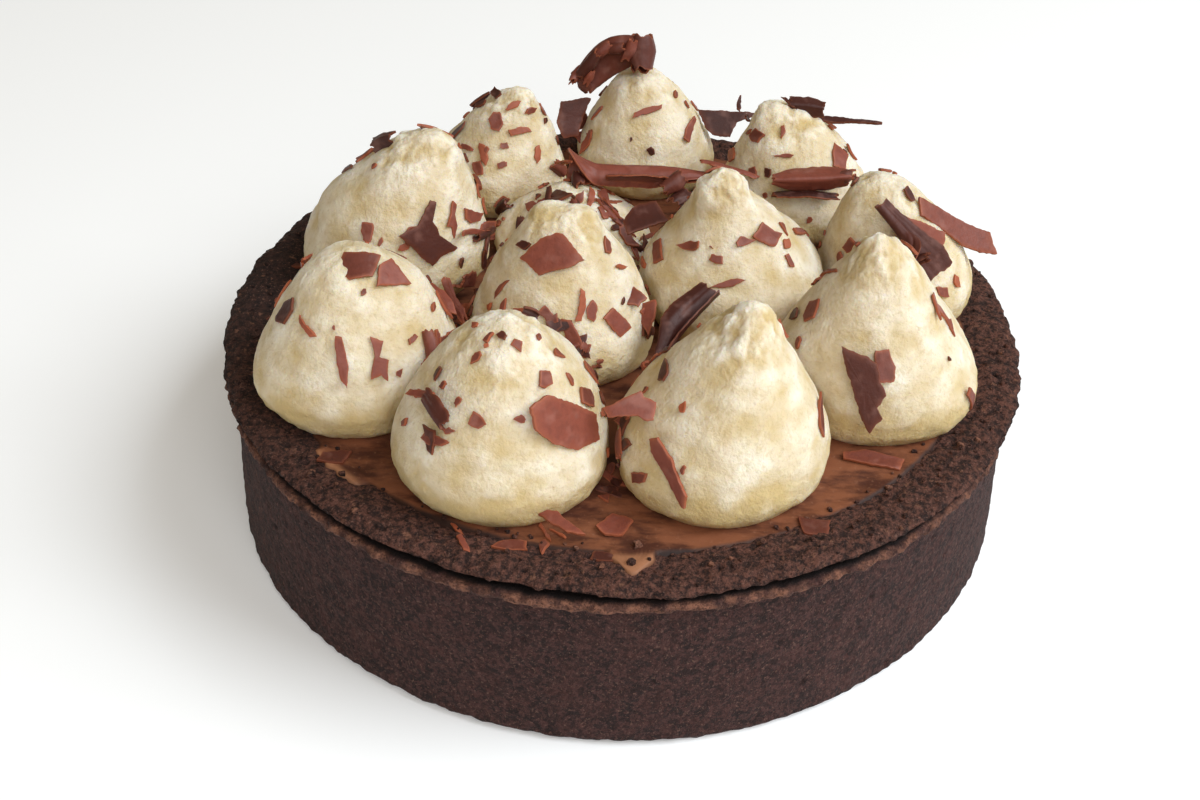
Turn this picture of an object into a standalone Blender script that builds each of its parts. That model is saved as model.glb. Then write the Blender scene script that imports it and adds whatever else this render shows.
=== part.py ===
"""Deep round chocolate tart with piped cream kisses and chocolate shards.

A cocoa shortcrust case holds a chocolate filling. Twelve cream kisses are piped
on it in a ring of nine round a group of three, and the larger milk chocolate
shards and curls lie on the kisses, between them and on the filling.

Metres, +Z up. The origin is the middle of the flat underside, the front of the
tart faces -Y and +X is to its right.
"""
import math
import random
from collections import namedtuple

import bmesh
import bpy
from mathutils import Matrix, Vector, noise

MM = 0.001
GAP = 0.3 * MM                       # clearance between pieces that touch

# Case
STEPS_ROUND = 60                     # facets round the case and the filling
RIM_RADIUS = 60.0 * MM               # outermost edge of the rim
RIM_CREST = 28.2 * MM                # height of the rim above the underside
RIM_INNER_RADIUS = 51.4 * MM         # where the rim meets the filling
WALL_TOP_RADIUS = 58.0 * MM          # wall just under the ledge
WALL_FOOT_RADIUS = 59.9 * MM
GROOVE_HEIGHT = 26.1 * MM            # crack between rim and ledge
LEDGE_DEPTH = 1.5 * MM               # height of the thin ledge under the groove
FLOOR_THICKNESS = 6.0 * MM
INNER_FOOT_RADIUS = 49.6 * MM
RIM_UNEVEN = 0.45 * MM               # how far the rim wanders in and out
CREST_UNEVEN = 0.12 * MM             # how far it wanders up and down

# Filling
FILLING_TOP = 27.9 * MM
FILLING_RIPPLE = 0.12 * MM

# Cream kisses
STEPS_KISS = 20
KISS_BASE = 28.7 * MM                # flat underside of every kiss
KISS_LUMP = 0.35 * MM                # soft lumps in the piped surface
# A kiss's outline as (share of its height, share of its radius), foot to tip
KISS_OUTLINE = (
    (0.00, 0.88),
    (0.10, 0.99),
    (0.22, 1.00),
    (0.36, 0.92),
    (0.50, 0.76),
    (0.63, 0.58),
    (0.76, 0.42),
    (0.87, 0.28),
    (0.94, 0.17),
    (0.98, 0.07),
)
BLUNT_FROM = 0.40                    # share of the height where blunt tips swell
BLUNT_SWELL = 0.14                   # most that they add, as a share of the radius
BLUNT_SPAN = 0.70                    # share of the height that the swelling takes

# Chocolate
SHARD_THICKNESS = 0.8 * MM
SHARD_LIFT = 1.2 * MM                # middle of a shard above the cream under it
CURL_TURN = math.radians(290)        # how far a curl is rolled round
CURL_TIGHTENING = 0.30               # share of its radius lost along the roll

CRUST_COLOUR = (0.045, 0.024, 0.020)
FILLING_COLOUR = (0.29, 0.115, 0.052)
CREAM_COLOUR = (0.76, 0.66, 0.42)
MILK_CHOCOLATE = (0.16, 0.048, 0.032)
DARK_CHOCOLATE = (0.055, 0.020, 0.017)

# Places and sizes in millimetres; lean moves the tip along X and blunt, from 0
# to 1, rounds it
Kiss = namedtuple("Kiss", "name x y radius height lean blunt")
KISSES = (
    Kiss("left", -36.6, -18.0, 14.6, 21.0, 0.0, 0.9),
    Kiss("front_left", -15.1, -35.0, 14.7, 22.3, 0.6, 1.0),
    Kiss("front_right", 13.7, -33.7, 14.7, 23.6, 1.9, 0.3),
    Kiss("right", 35.6, -17.4, 14.0, 25.2, -2.2, 0.3),
    Kiss("far_left", -35.8, 11.6, 14.8, 22.3, 5.8, 1.0),
    Kiss("centre", -8.8, -7.4, 13.7, 21.7, 0.0, 0.8),
    Kiss("centre_right", 16.6, 3.6, 14.5, 22.6, -3.0, 0.3),
    Kiss("far_right", 41.8, 8.4, 12.5, 19.8, -4.6, 1.0),
    Kiss("back_left", -22.0, 36.8, 11.6, 17.4, 3.5, 0.7),
    Kiss("back", 3.0, 44.8, 11.7, 18.2, -1.6, 1.0),
    Kiss("back_right", 28.4, 32.2, 12.7, 18.4, -3.8, 1.0),
    Kiss("centre_back", -8.6, 18.8, 12.9, 9.4, -0.6, 0.9),
)

# Chocolate that lies against a kiss: bearing round the kiss and spin in its
# surface in degrees, up as a share of its height, sizes in millimetres
Leaning = namedtuple("Leaning", "name form kiss bearing up spin length width colour")
LEANING = (
    Leaning("shard_front", "flake", "front_left", -36, 0.49, -42, 10.4, 7.0, MILK_CHOCOLATE),
    Leaning("shard_centre", "flake", "centre", -108, 0.79, 10, 8.8, 5.6, MILK_CHOCOLATE),
    Leaning("shard_right", "flake", "right", -105, 0.36, -62, 12.0, 5.4, DARK_CHOCOLATE),
    Leaning("shard_star", "flake", "far_left", -60, 0.46, -44, 9.4, 7.8, DARK_CHOCOLATE),
    Leaning("stick_front", "flake", "front_right", -124, 0.28, -50, 11.0, 2.4, MILK_CHOCOLATE),
    Leaning("shard_back_right", "flake", "back_right", -84, 0.56, 1, 12.6, 4.4, MILK_CHOCOLATE),
    Leaning("shard_far_right", "flake", "far_right", -52, 0.64, -38, 9.6, 6.4, MILK_CHOCOLATE),
    Leaning("shard_outer", "flake", "far_right", -3, 0.61, -60, 12.8, 5.0, MILK_CHOCOLATE),
    Leaning("curl_right", "curl", "far_right", -92, 0.64, -47, 11.5, 4.0, DARK_CHOCOLATE),
)

# Chocolate that spans from kiss to kiss or lies flat: place in millimetres,
# bearing of its length, pitch of its length and roll about it in degrees
Spanning = namedtuple("Spanning", "name form x y z bearing pitch roll length width colour")
SPANNING = (
    Spanning("curl_crown", "curl", -3.2, 43.0, 48.6, 8, 24, -60, 13.5, 6.4, DARK_CHOCOLATE),
    Spanning("curl_long", "curl", 1.8, 24.2, 39.6, 0, 0, 20, 23.0, 5.6, MILK_CHOCOLATE),
    Spanning("curl_gap", "curl", 8.0, -16.0, 38.2, 46, 27, 0, 14.5, 3.6, DARK_CHOCOLATE),
    Spanning("shard_gap", "flake", 2.2, -41.0, 41.8, 14, 14, 40, 8.6, 4.0, MILK_CHOCOLATE),
    Spanning("shard_back_left", "flake", -9.0, 40.4, 38.6, 80, 60, 20, 9.0, 5.6, DARK_CHOCOLATE),
    Spanning("shard_back", "flake", 17.0, 43.8, 38.8, 10, 8, 50, 8.6, 6.4, DARK_CHOCOLATE),
    Spanning("shard_middle", "flake", 2.4, 8.6, 41.1, 30, 14, 20, 9.0, 5.4, DARK_CHOCOLATE),
    Spanning("stick_back_right", "flake", 36.4, 32.4, 45.3, -3, -3, 20, 11.0, 2.2, DARK_CHOCOLATE),
    Spanning("shard_filling", "flake", -7.0, -50.0, 29.3, -19, 0, 10, 8.2, 3.0, MILK_CHOCOLATE),
    Spanning("shard_filling_right", "flake", 34.4, -33.6, 29.2, 6, 0, 8, 9.0, 2.4, MILK_CHOCOLATE),
)


def clear_scene():
    """Take away whatever the open file holds."""
    for item in list(bpy.data.objects):
        bpy.data.objects.remove(item, do_unlink=True)


def new_collection(name):
    """A collection linked to the scene."""
    group = bpy.data.collections.new(name)
    bpy.context.scene.collection.children.link(group)
    return group


def finish(item, colour, roughness):
    """Give an object its own plain material."""
    material = bpy.data.materials.new(item.name + "_finish")
    material.use_nodes = True
    shader = material.node_tree.nodes["Principled BSDF"]
    shader.inputs["Base Color"].default_value = (*colour, 1.0)
    shader.inputs["Roughness"].default_value = roughness
    shader.inputs["Metallic"].default_value = 0.0
    item.data.materials.clear()
    item.data.materials.append(material)


def turned(name, profile, steps, group):
    """Turn a profile of (radius, height) points, top to bottom, about Z."""
    mesh = bpy.data.meshes.new(name + "_profile")
    edges = [(index, index + 1) for index in range(len(profile) - 1)]
    mesh.from_pydata([(radius, 0.0, height) for radius, height in profile], edges, [])
    item = bpy.data.objects.new(name, mesh)
    group.objects.link(item)
    screw = item.modifiers.new("Turn", "SCREW")
    screw.steps = steps
    screw.render_steps = steps
    screw.use_merge_vertices = True
    screw.merge_threshold = 0.00005
    return item


def settle(item):
    """Replace an object's modifiers by the mesh that they make."""
    graph = bpy.context.evaluated_depsgraph_get()
    mesh = bpy.data.meshes.new_from_object(item.evaluated_get(graph))
    item.modifiers.clear()
    old = item.data
    item.data = mesh
    bpy.data.meshes.remove(old)
    mesh.name = item.name


def drift(bearing, seed, waves):
    """Smooth unevenness between -1 and 1 that closes up round the tart."""
    place = Vector((math.cos(bearing) * waves, math.sin(bearing) * waves, seed))
    return max(-1.0, min(1.0, 1.6 * noise.noise(place)))


def case_profile():
    """Outline of the case: floor, inner wall, rim, groove, ledge, wall, foot."""
    ledge_foot = GROOVE_HEIGHT - LEDGE_DEPTH
    return (
        (0.0, FLOOR_THICKNESS),
        (INNER_FOOT_RADIUS - 1.0 * MM, FLOOR_THICKNESS),
        (INNER_FOOT_RADIUS, FLOOR_THICKNESS + 2.0 * MM),
        (RIM_INNER_RADIUS - 0.4 * MM, FILLING_TOP - 1.0 * MM),
        (RIM_INNER_RADIUS, FILLING_TOP - 0.1 * MM),
        (RIM_INNER_RADIUS + 2.0 * MM, RIM_CREST - 0.1 * MM),
        (RIM_INNER_RADIUS + 4.8 * MM, RIM_CREST),
        (RIM_RADIUS - 1.3 * MM, RIM_CREST - 0.2 * MM),
        (RIM_RADIUS - 0.2 * MM, RIM_CREST - 0.8 * MM),
        (RIM_RADIUS, RIM_CREST - 1.4 * MM),
        (RIM_RADIUS - 0.7 * MM, GROOVE_HEIGHT + 0.1 * MM),
        (WALL_TOP_RADIUS + 0.1 * MM, GROOVE_HEIGHT),
        (WALL_TOP_RADIUS + 0.8 * MM, GROOVE_HEIGHT - 0.5 * MM),
        (WALL_TOP_RADIUS + 0.7 * MM, ledge_foot + 0.3 * MM),
        (WALL_TOP_RADIUS, ledge_foot),
        (WALL_FOOT_RADIUS, 1.0 * MM),
        (WALL_FOOT_RADIUS - 0.8 * MM, 0.0),
        (0.0, 0.0),
    )


def build_case(group):
    """The shortcrust case, with a rim that wanders as baked pastry does."""
    case = turned("crust", case_profile(), STEPS_ROUND, group)
    settle(case)
    for vertex in case.data.vertices:
        radius = math.hypot(vertex.co.x, vertex.co.y)
        if radius < RIM_INNER_RADIUS + 1.0 * MM:
            continue
        bearing = math.atan2(vertex.co.y, vertex.co.x)
        height_share = vertex.co.z / RIM_CREST
        push = RIM_UNEVEN * drift(bearing, 3.1, 2.6) * (0.3 + 0.7 * height_share)
        push -= RIM_UNEVEN * 0.5
        vertex.co.x *= (radius + push) / radius
        vertex.co.y *= (radius + push) / radius
        if height_share > 0.8:
            vertex.co.z += CREST_UNEVEN * drift(bearing, 8.7, 4.0)
    finish(case, CRUST_COLOUR, 0.85)


def build_filling(group):
    """The chocolate filling, from the floor of the case up to its rim."""
    profile = (
        (0.0, FILLING_TOP),
        (20.0 * MM, FILLING_TOP),
        (38.0 * MM, FILLING_TOP),
        (RIM_INNER_RADIUS - 1.6 * MM, FILLING_TOP),
        (RIM_INNER_RADIUS - 0.4 * MM - GAP, FILLING_TOP - 0.5 * MM),
        (RIM_INNER_RADIUS - 0.4 * MM - GAP, FILLING_TOP - 1.0 * MM),
        (INNER_FOOT_RADIUS - GAP, FLOOR_THICKNESS + 2.0 * MM),
        (INNER_FOOT_RADIUS - 1.2 * MM, FLOOR_THICKNESS + GAP),
        (0.0, FLOOR_THICKNESS + GAP),
    )
    filling = turned("filling", profile, STEPS_ROUND, group)
    settle(filling)
    for vertex in filling.data.vertices:
        if vertex.co.z > FILLING_TOP - 0.2 * MM:
            ripple = noise.noise(vertex.co * 90.0)
            vertex.co.z += FILLING_RIPPLE * max(-1.0, min(1.0, ripple))
    finish(filling, FILLING_COLOUR, 0.45)


def outline_radius(kiss, up):
    """A kiss's radius, as a share of its widest, at a share of its height."""
    swell = 0.0
    if up > BLUNT_FROM:
        share = (up - BLUNT_FROM) / BLUNT_SPAN
        swell = kiss.blunt * BLUNT_SWELL * math.sin(math.pi * share)
    for (low, low_radius), (high, high_radius) in zip(KISS_OUTLINE, KISS_OUTLINE[1:]):
        if up <= high:
            share = (up - low) / (high - low)
            return low_radius + share * (high_radius - low_radius) + swell
    return KISS_OUTLINE[-1][1] + swell


def hold_back(point, kiss):
    """Keep a point of a kiss on its own side of every neighbour."""
    centre = Vector((kiss.x, kiss.y)) * MM
    for other in KISSES:
        if other.name == kiss.name:
            continue
        across = Vector((other.x, other.y)) * MM - centre
        distance = across.length
        if distance > (kiss.radius + other.radius) * MM * 1.2:
            continue
        across.normalize()
        radii = (kiss.radius ** 2 - other.radius ** 2) * MM ** 2
        limit = (distance ** 2 + radii) / (2 * distance) - 0.55 * GAP
        reach = (Vector((point.x, point.y)) - centre).dot(across)
        if reach > limit:
            point.x -= across.x * (reach - limit)
            point.y -= across.y * (reach - limit)


def build_kiss(kiss, group):
    """A piped kiss: a turned drop that leans, is lumpy and meets its neighbours."""
    radius = kiss.radius * MM
    height = kiss.height * MM
    profile = [(0.0, height)]
    for up, _ in reversed(KISS_OUTLINE):
        profile.append((outline_radius(kiss, up) * radius, up * height))
    profile.append((0.0, 0.0))
    cream = turned("kiss_" + kiss.name, profile, STEPS_KISS, group)
    settle(cream)
    centre = Vector((kiss.x, kiss.y, 0.0)) * MM
    for vertex in cream.data.vertices:
        up = vertex.co.z / height
        lump = 1.0 + KISS_LUMP / radius * noise.noise((vertex.co + centre) * 160.0)
        vertex.co.x *= lump
        vertex.co.y *= lump
        vertex.co.x += kiss.lean * MM * up * up
        vertex.co += centre
        vertex.co.z += KISS_BASE
        for _ in range(3):
            hold_back(vertex.co, kiss)
    cream.data.shade_smooth()
    finish(cream, CREAM_COLOUR, 0.6)


def flake(name, length, width, seed, group):
    """A broken flake: a flat ragged outline with the thickness of the chocolate."""
    chance = random.Random(seed)
    corners = 9 if width > 0.35 * length else 7
    curve = bpy.data.curves.new(name, "CURVE")
    curve.dimensions = "2D"
    curve.fill_mode = "BOTH"
    curve.extrude = SHARD_THICKNESS / 2
    spline = curve.splines.new("POLY")
    spline.points.add(corners - 1)
    for index, point in enumerate(spline.points):
        angle = 2 * math.pi * (index + chance.uniform(-0.22, 0.22)) / corners
        reach = chance.uniform(0.72, 1.0)
        across = math.copysign(abs(math.cos(angle)) ** 0.7, math.cos(angle))
        along = math.copysign(abs(math.sin(angle)) ** 0.7, math.sin(angle))
        point.co = (0.5 * length * reach * across, 0.5 * width * reach * along, 0.0, 1.0)
    spline.use_cyclic_u = True
    item = bpy.data.objects.new(name, curve)
    group.objects.link(item)
    return item


def curl(name, length, width, group):
    """A rolled curl: a thin sheet wound round its own long axis."""
    bends = 10
    outer = width / 2 - SHARD_THICKNESS / 2
    mesh = bpy.data.meshes.new(name)
    sheet = bmesh.new()
    row = []
    for index in range(bends + 1):
        share = index / bends
        angle = CURL_TURN * share
        radius = outer * (1.0 - CURL_TIGHTENING * share)
        place = (-length / 2, radius * math.cos(angle), radius * math.sin(angle))
        row.append(sheet.verts.new(place))
    edges = [sheet.edges.new(pair) for pair in zip(row, row[1:])]
    grown = bmesh.ops.extrude_edge_only(sheet, edges=edges)
    moved = [part for part in grown["geom"] if isinstance(part, bmesh.types.BMVert)]
    bmesh.ops.translate(sheet, verts=moved, vec=(length, 0.0, 0.0))
    sheet.to_mesh(mesh)
    sheet.free()
    item = bpy.data.objects.new(name, mesh)
    group.objects.link(item)
    solid = item.modifiers.new("Thickness", "SOLIDIFY")
    solid.thickness = SHARD_THICKNESS
    solid.offset = 0.0
    return item


def chocolate(piece, seed, group):
    """A shard or a curl of the piece's form, sizes and colour."""
    length = piece.length * MM
    width = piece.width * MM
    if piece.form == "curl":
        item = curl(piece.name, length, width, group)
    else:
        item = flake(piece.name, length, width, seed, group)
    finish(item, piece.colour, 0.5)
    return item


def frame_on_kiss(piece):
    """Where a piece leaning on a kiss lies: X along it, Z out of the cream."""
    kiss = next(kiss for kiss in KISSES if kiss.name == piece.kiss)
    bearing = math.radians(piece.bearing)
    out = Vector((math.cos(bearing), math.sin(bearing), 0.0))
    level = Vector((-math.sin(bearing), math.cos(bearing), 0.0))
    radius = kiss.radius * MM
    height = kiss.height * MM
    step = 0.02
    change = outline_radius(kiss, piece.up + step) - outline_radius(kiss, piece.up - step)
    slope = change * radius / (2 * step * height)
    lean = kiss.lean * MM * piece.up ** 2
    centre = Vector((kiss.x * MM + lean, kiss.y * MM, KISS_BASE + piece.up * height))
    normal = (out - Vector((0.0, 0.0, slope))).normalized()
    uphill = normal.cross(level)
    if uphill.z < 0.0:
        uphill.negate()
    spin = math.radians(piece.spin)
    along = (level * math.cos(spin) + uphill * math.sin(spin)).normalized()
    across = normal.cross(along)
    lift = SHARD_LIFT
    if piece.form == "curl":
        lift = piece.width * MM / 2 + GAP + KISS_LUMP
    place = centre + out * outline_radius(kiss, piece.up) * radius + normal * lift
    turn = Matrix((along, across, normal)).transposed().to_4x4()
    return Matrix.Translation(place) @ turn


def frame_across(piece):
    """Where a piece that spans or lies flat is, by bearing, pitch and roll."""
    place = Matrix.Translation(Vector((piece.x, piece.y, piece.z)) * MM)
    bearing = Matrix.Rotation(math.radians(piece.bearing), 4, "Z")
    pitch = Matrix.Rotation(math.radians(-piece.pitch), 4, "Y")
    roll = Matrix.Rotation(math.radians(piece.roll), 4, "X")
    return place @ bearing @ pitch @ roll


def build_chocolate(group):
    """Every large shard and curl, each placed by its own frame."""
    for seed, piece in enumerate(LEANING):
        chocolate(piece, seed, group).matrix_world = frame_on_kiss(piece)
    for seed, piece in enumerate(SPANNING, start=len(LEANING)):
        chocolate(piece, seed, group).matrix_world = frame_across(piece)


def main():
    clear_scene()
    group = new_collection("chocolate_tart")
    build_case(group)
    build_filling(group)
    for kiss in KISSES:
        build_kiss(kiss, group)
    build_chocolate(group)


main()
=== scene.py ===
"""Chocolate tart with piped cream kisses and chocolate shavings.

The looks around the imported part: a cocoa case, its filling, twelve cream kisses
and the chocolate on them. Lengths are in millimetres until a mesh is made.
"""

import math
from collections import namedtuple

import bmesh
import bpy
import numpy as np
from mathutils import Matrix
from mathutils.bvhtree import BVHTree


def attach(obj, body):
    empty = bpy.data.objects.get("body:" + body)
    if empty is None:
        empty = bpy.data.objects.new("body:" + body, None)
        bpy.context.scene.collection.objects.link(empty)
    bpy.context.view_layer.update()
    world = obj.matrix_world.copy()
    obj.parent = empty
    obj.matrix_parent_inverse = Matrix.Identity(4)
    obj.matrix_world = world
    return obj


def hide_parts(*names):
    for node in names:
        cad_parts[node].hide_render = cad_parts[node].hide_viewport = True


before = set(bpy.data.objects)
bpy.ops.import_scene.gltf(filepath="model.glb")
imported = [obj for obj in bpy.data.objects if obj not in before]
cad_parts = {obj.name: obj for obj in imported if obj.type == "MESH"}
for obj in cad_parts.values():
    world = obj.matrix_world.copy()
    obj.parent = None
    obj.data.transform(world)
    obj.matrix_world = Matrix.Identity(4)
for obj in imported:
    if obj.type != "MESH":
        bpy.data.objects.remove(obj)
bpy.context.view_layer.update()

MM = 0.001
UP = np.array((0.0, 0.0, 1.0))

# Case, in millimetres
FRONT = -math.pi / 2                 # bearing of the side nearest the camera
MOST_SHADED = math.radians(165)       # bearing where the painted shade on the rim is darkest
CASE_COLUMNS = 880
# Outline of the case as (radius, height, spacing of the rings up to this point)
CASE_OUTLINE = (
    (0.0, 0.0, 60.0),
    (40.0, 0.0, 20.0),
    (57.6, 0.0, 6.0),
    (59.2, 0.25, 0.9),
    (59.8, 1.2, 0.6),
    (59.0, 12.0, 0.50),
    (58.1, 23.7, 0.50),
    (58.3, 24.1, 0.30),
    (59.0, 24.5, 0.30),
    (59.2, 25.1, 0.25),
    (58.9, 25.65, 0.25),
    (58.2, 25.9, 0.25),
    (57.0, 25.90, 0.30),
    (56.3, 26.10, 0.25),
    (57.0, 26.40, 0.25),
    (58.4, 26.45, 0.30),
    (59.2, 26.75, 0.25),
    (59.4, 27.2, 0.25),
    (58.9, 27.7, 0.30),
    (57.4, 28.15, 0.35),
    (55.2, 28.3, 0.40),
    (53.0, 28.05, 0.42),
    (51.5, 27.7, 0.42),
    (50.9, 26.6, 0.60),
    (50.2, 18.0, 4.5),
    (49.7, 7.6, 5.5),
    (48.6, 6.0, 1.2),
    (30.0, 6.0, 20.0),
    (0.0, 6.0, 60.0),
)
LEDGE_BAND = (24.0, 25.95)           # heights of the thin raised line under the crack
LEDGE_INNER = 57.8                   # radius from which it shows
LEDGE_OUT = 0.05
WALL_TOP = 24.4
RIM_BOTTOM = 25.5
RIM_INNER = 50.5
CRACK_MIDDLE = 26.0                  # height of the crack under the rim
CRACK_TOP = 26.8
CRACK_INNER = 56.0                   # a radius just inside the crack's end
CRACK_FADES = (58.1, 58.9)           # radii between which the crack's painted shade fades out
CRACK_ROWS = 14                      # only rings nearer to its end than this get painted shade
CRACK_WIDTH = 0.45
MOST_LIFTED = 0.6                    # how far an open crack lifts the rim
PIT_SPACING, PIT_DEPTH = 3.4, 0.35
HOLE_SPACING, HOLE_DEPTH, KNOB_HEIGHT = 1.7, 0.42, 0.30

# Unevenness of the case, in layers of (height, size of the bumps, octaves, seed).
# What has to be the same along a radius is read on a circle of this radius
NOISE_RADIUS = 60
RIM_LEANS = ((0.40, 34.0, 1, 1.0), (0.28, 7.0, 1, 2.0), (0.18, 2.4, 1, 17.0))
RIM_RISES = ((0.35, 16.0, 1, 6.0), (0.15, 7.0, 1, 2.0))
RIM_CRUMBS = ((0.28, 3.2, 3, 11.0), (0.17, 1.0, 1, 12.0))
WALL_LEANS = ((0.35, 34.0, 1, 1.0),)
WALL_GRAIN = ((0.13, 2.6, 3, 9.0), (0.07, 0.9, 1, 10.0))
CRACK_WANDERS = ((0.35, 20.0, 1, 4.0), (0.22, 5.0, 1, 5.0))
CRACK_WIDENS = ((0.30, 12.0, 1, 3.0),)
LEDGE_BULGES = ((0.30, 3.0, 1, 7.0), (0.38, 1.2, 1, 8.0))
LEDGE_GRAIN = ((0.20, 0.8, 1, 13.0),)
FOOT_GRAIN = ((0.25, 1.6, 1, 14.0),)

# Filling, in millimetres
FILLING_TOP = 27.9
FILLING_COLUMNS = 640
SKIRT_RADIUS, SKIRT_DROP = 50.0, 1.8   # the hidden side's upper end, below the top
FILLING_FOOT_RADIUS, FILLING_FOOT = 49.0, 6.6   # the hidden side's lower end
FILLING_EDGE = 51.7                  # radius at which the filling meets the rim
TUCKED_UNDER = 1.2                   # how far it goes on below the rim's slope
EDGE_NOISE_RADIUS = 52               # radius at which the edge's noise is read
EDGE_WANDERS = ((0.50, 14.0, 1, 21.0), (0.25, 3.5, 1, 22.0))
STREAKS = (0.16, 3.0, 1, 23.0)       # waves drawn out along X
STREAK_STRETCH = np.array((0.5, 1.4, 1.0))
FILLING_WAVES = ((0.20, 9.0, 1, 24.0), (0.05, 1.2, 1, 25.0))
# Where the filling has run over the rim: bearing, how far, and width in radians
SMEARS = ((FRONT + 0.04, 2.9, 0.075), (FRONT - 0.78, 1.4, 0.16))
# Radii and heights of the rim's slope down to the filling
RIM_INNER_RADII = (51.5, 53.0, 55.2)
RIM_INNER_HEIGHTS = (27.7, 28.05, 28.3)

# Cream kisses: place, radius and height in millimetres, how far the tip leans
# along X, how blunt and how rough the tip is
KISS_FOOT = 27.5
KISS_COLUMNS = 168
KISS_ROWS = 100
KISS_OUTLINE = (
    (0.00, 0.84),
    (0.05, 0.94),
    (0.11, 0.99),
    (0.22, 1.00),
    (0.36, 0.925),
    (0.50, 0.765),
    (0.63, 0.585),
    (0.76, 0.42),
    (0.87, 0.29),
    (0.94, 0.19),
    (0.98, 0.10),
    (1.00, 0.0),
)
BLUNT_FROM, BLUNT_SPAN = 0.40, 0.70  # shares of the height where a blunt tip swells
BLUNT_SWELL = 0.14
FOLD_HEIGHT = 0.13
LUMP_HEIGHT = 0.16
FINE_HEIGHT = 0.06
TIP_HEIGHT = 0.48                    # of the torn cream at the tip
FOOT_HEIGHT = 0.20                   # of the lumps near the foot
NEIGHBOUR_GAP = 0.15
SOFTNESS = 0.55                      # how gently kisses that press together flatten

Kiss = namedtuple("Kiss", "name x y radius height lean blunt rough")
KISSES = (
    Kiss("left", -36.6, -18.0, 14.6, 22.2, 0.0, 0.9, 0.3),
    Kiss("front_left", -15.1, -35.0, 14.7, 23.5, 0.6, 1.0, 0.7),
    Kiss("front_right", 13.7, -33.7, 14.7, 24.8, 1.9, 0.3, 1.0),
    Kiss("right", 35.6, -17.4, 14.0, 26.4, -2.2, 0.3, 0.8),
    Kiss("far_left", -35.8, 11.6, 14.8, 23.5, 5.8, 1.0, 0.8),
    Kiss("centre", -8.8, -7.4, 13.7, 22.9, 0.0, 0.8, 0.7),
    Kiss("centre_right", 16.6, 3.6, 14.5, 23.8, -2.9, -0.15, 1.2),
    Kiss("far_right", 41.8, 8.4, 12.5, 21.0, -4.6, 1.0, 0.5),
    Kiss("back_left", -22.0, 36.8, 11.6, 18.6, 3.5, 0.7, 0.9),
    Kiss("back", 3.0, 44.8, 11.7, 19.4, -1.6, 1.0, 0.7),
    Kiss("back_right", 28.4, 32.2, 12.7, 19.6, -3.8, 1.0, 0.8),
    Kiss("centre_back", -8.6, 18.8, 12.9, 10.6, -0.6, 0.9, 0.6),
)

# Swellings and hollows on single kisses: bearing in degrees, share of the
# height, height out of the surface and width in millimetres
Dab = namedtuple("Dab", "kiss bearing up out width")
DABS = (
    Dab("front_right", 20, 0.97, 1.1, 2.4),
    Dab("front_right", -150, 0.90, -0.9, 2.6),
    Dab("front_right", 80, 0.88, 0.9, 3.0),
    Dab("right", -90, 0.98, 0.6, 2.4),
    Dab("right", 180, 0.86, -0.6, 3.0),
    Dab("centre", 170, 0.95, 1.2, 2.6),
    Dab("centre", 0, 0.95, 1.2, 2.6),
    Dab("centre_right", -60, 0.95, 1.0, 2.4),
    Dab("centre_right", -130, 0.88, 0.8, 2.2),
    Dab("centre_right", 10, 0.84, -0.7, 2.6),
    Dab("far_left", -10, 0.96, 1.0, 3.2),
    Dab("far_left", 180, 0.80, -0.8, 4.5),
    Dab("left", 5, 0.80, 1.2, 5.0),
    Dab("back_right", -90, 0.92, -0.8, 3.0),
    Dab("back_right", 170, 0.95, 0.9, 2.6),
    Dab("back_left", -60, 0.97, 0.9, 2.4),
)


# ---- noise -----------------------------------------------------------------

TABLE_SIZE = 256
_chance = np.random.default_rng(11)
SHUFFLE = _chance.permutation(TABLE_SIZE)
SLOPES = _chance.normal(size=(TABLE_SIZE, 3))
SLOPES /= np.linalg.norm(SLOPES, axis=1)[:, None]
SCATTER = _chance.random((TABLE_SIZE, 3))


def table_index(lattice):
    """A fixed random number from 0 to 255 for every whole-number place."""
    mask = TABLE_SIZE - 1
    first = SHUFFLE[lattice[:, 0] & mask]
    second = SHUFFLE[(first + lattice[:, 1]) & mask]
    return SHUFFLE[(second + lattice[:, 2]) & mask]


def noise(points, size, seed=0.0):
    """Smooth noise, about -1 to 1, with bumps about size millimetres apart."""
    place = points.reshape(-1, 3) / size + seed * 7.31
    cell = np.floor(place).astype(np.int64)
    inside = place - cell
    ease = inside * inside * inside * (inside * (inside * 6 - 15) + 10)
    total = np.zeros(len(place))
    for corner in range(8):
        step = np.array((corner & 1, corner >> 1 & 1, corner >> 2))
        slope = SLOPES[table_index(cell + step)]
        weight = np.where(step, ease, 1 - ease).prod(axis=1)
        total += weight * (slope * (inside - step)).sum(axis=1)
    return (1.6 * total).reshape(points.shape[:-1])


def fractal(points, size, octaves, seed=0.0):
    """Noise with finer and weaker noise on it."""
    total = 0.0
    for octave in range(octaves):
        total = total + noise(points, size / 2 ** octave, seed + octave) / 2 ** octave
    return total


def bumps(points, *layers):
    """The sum of noise layers of (height, size, octaves, seed)."""
    return sum(height * fractal(points, size, octaves, seed)
               for height, size, octaves, seed in layers)


def cells(points, size, seed=0):
    """Distance to the nearest of scattered centres, as a share of their spacing,
    and a random number from 0 to 1 that is the same all over a centre's cell."""
    place = points.reshape(-1, 3) / size
    cell = np.floor(place).astype(np.int64)
    nearest = np.full(len(place), 9.0)
    number = np.zeros(len(place))
    for x in (-1, 0, 1):
        for y in (-1, 0, 1):
            for z in (-1, 0, 1):
                near = cell + np.array((x, y, z))
                index = table_index(near + seed)
                reach = np.linalg.norm(near + SCATTER[index] - place, axis=1)
                closer = reach < nearest
                nearest = np.where(closer, reach, nearest)
                number = np.where(closer, index / TABLE_SIZE, number)
    return nearest.reshape(points.shape[:-1]), number.reshape(points.shape[:-1])


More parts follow.
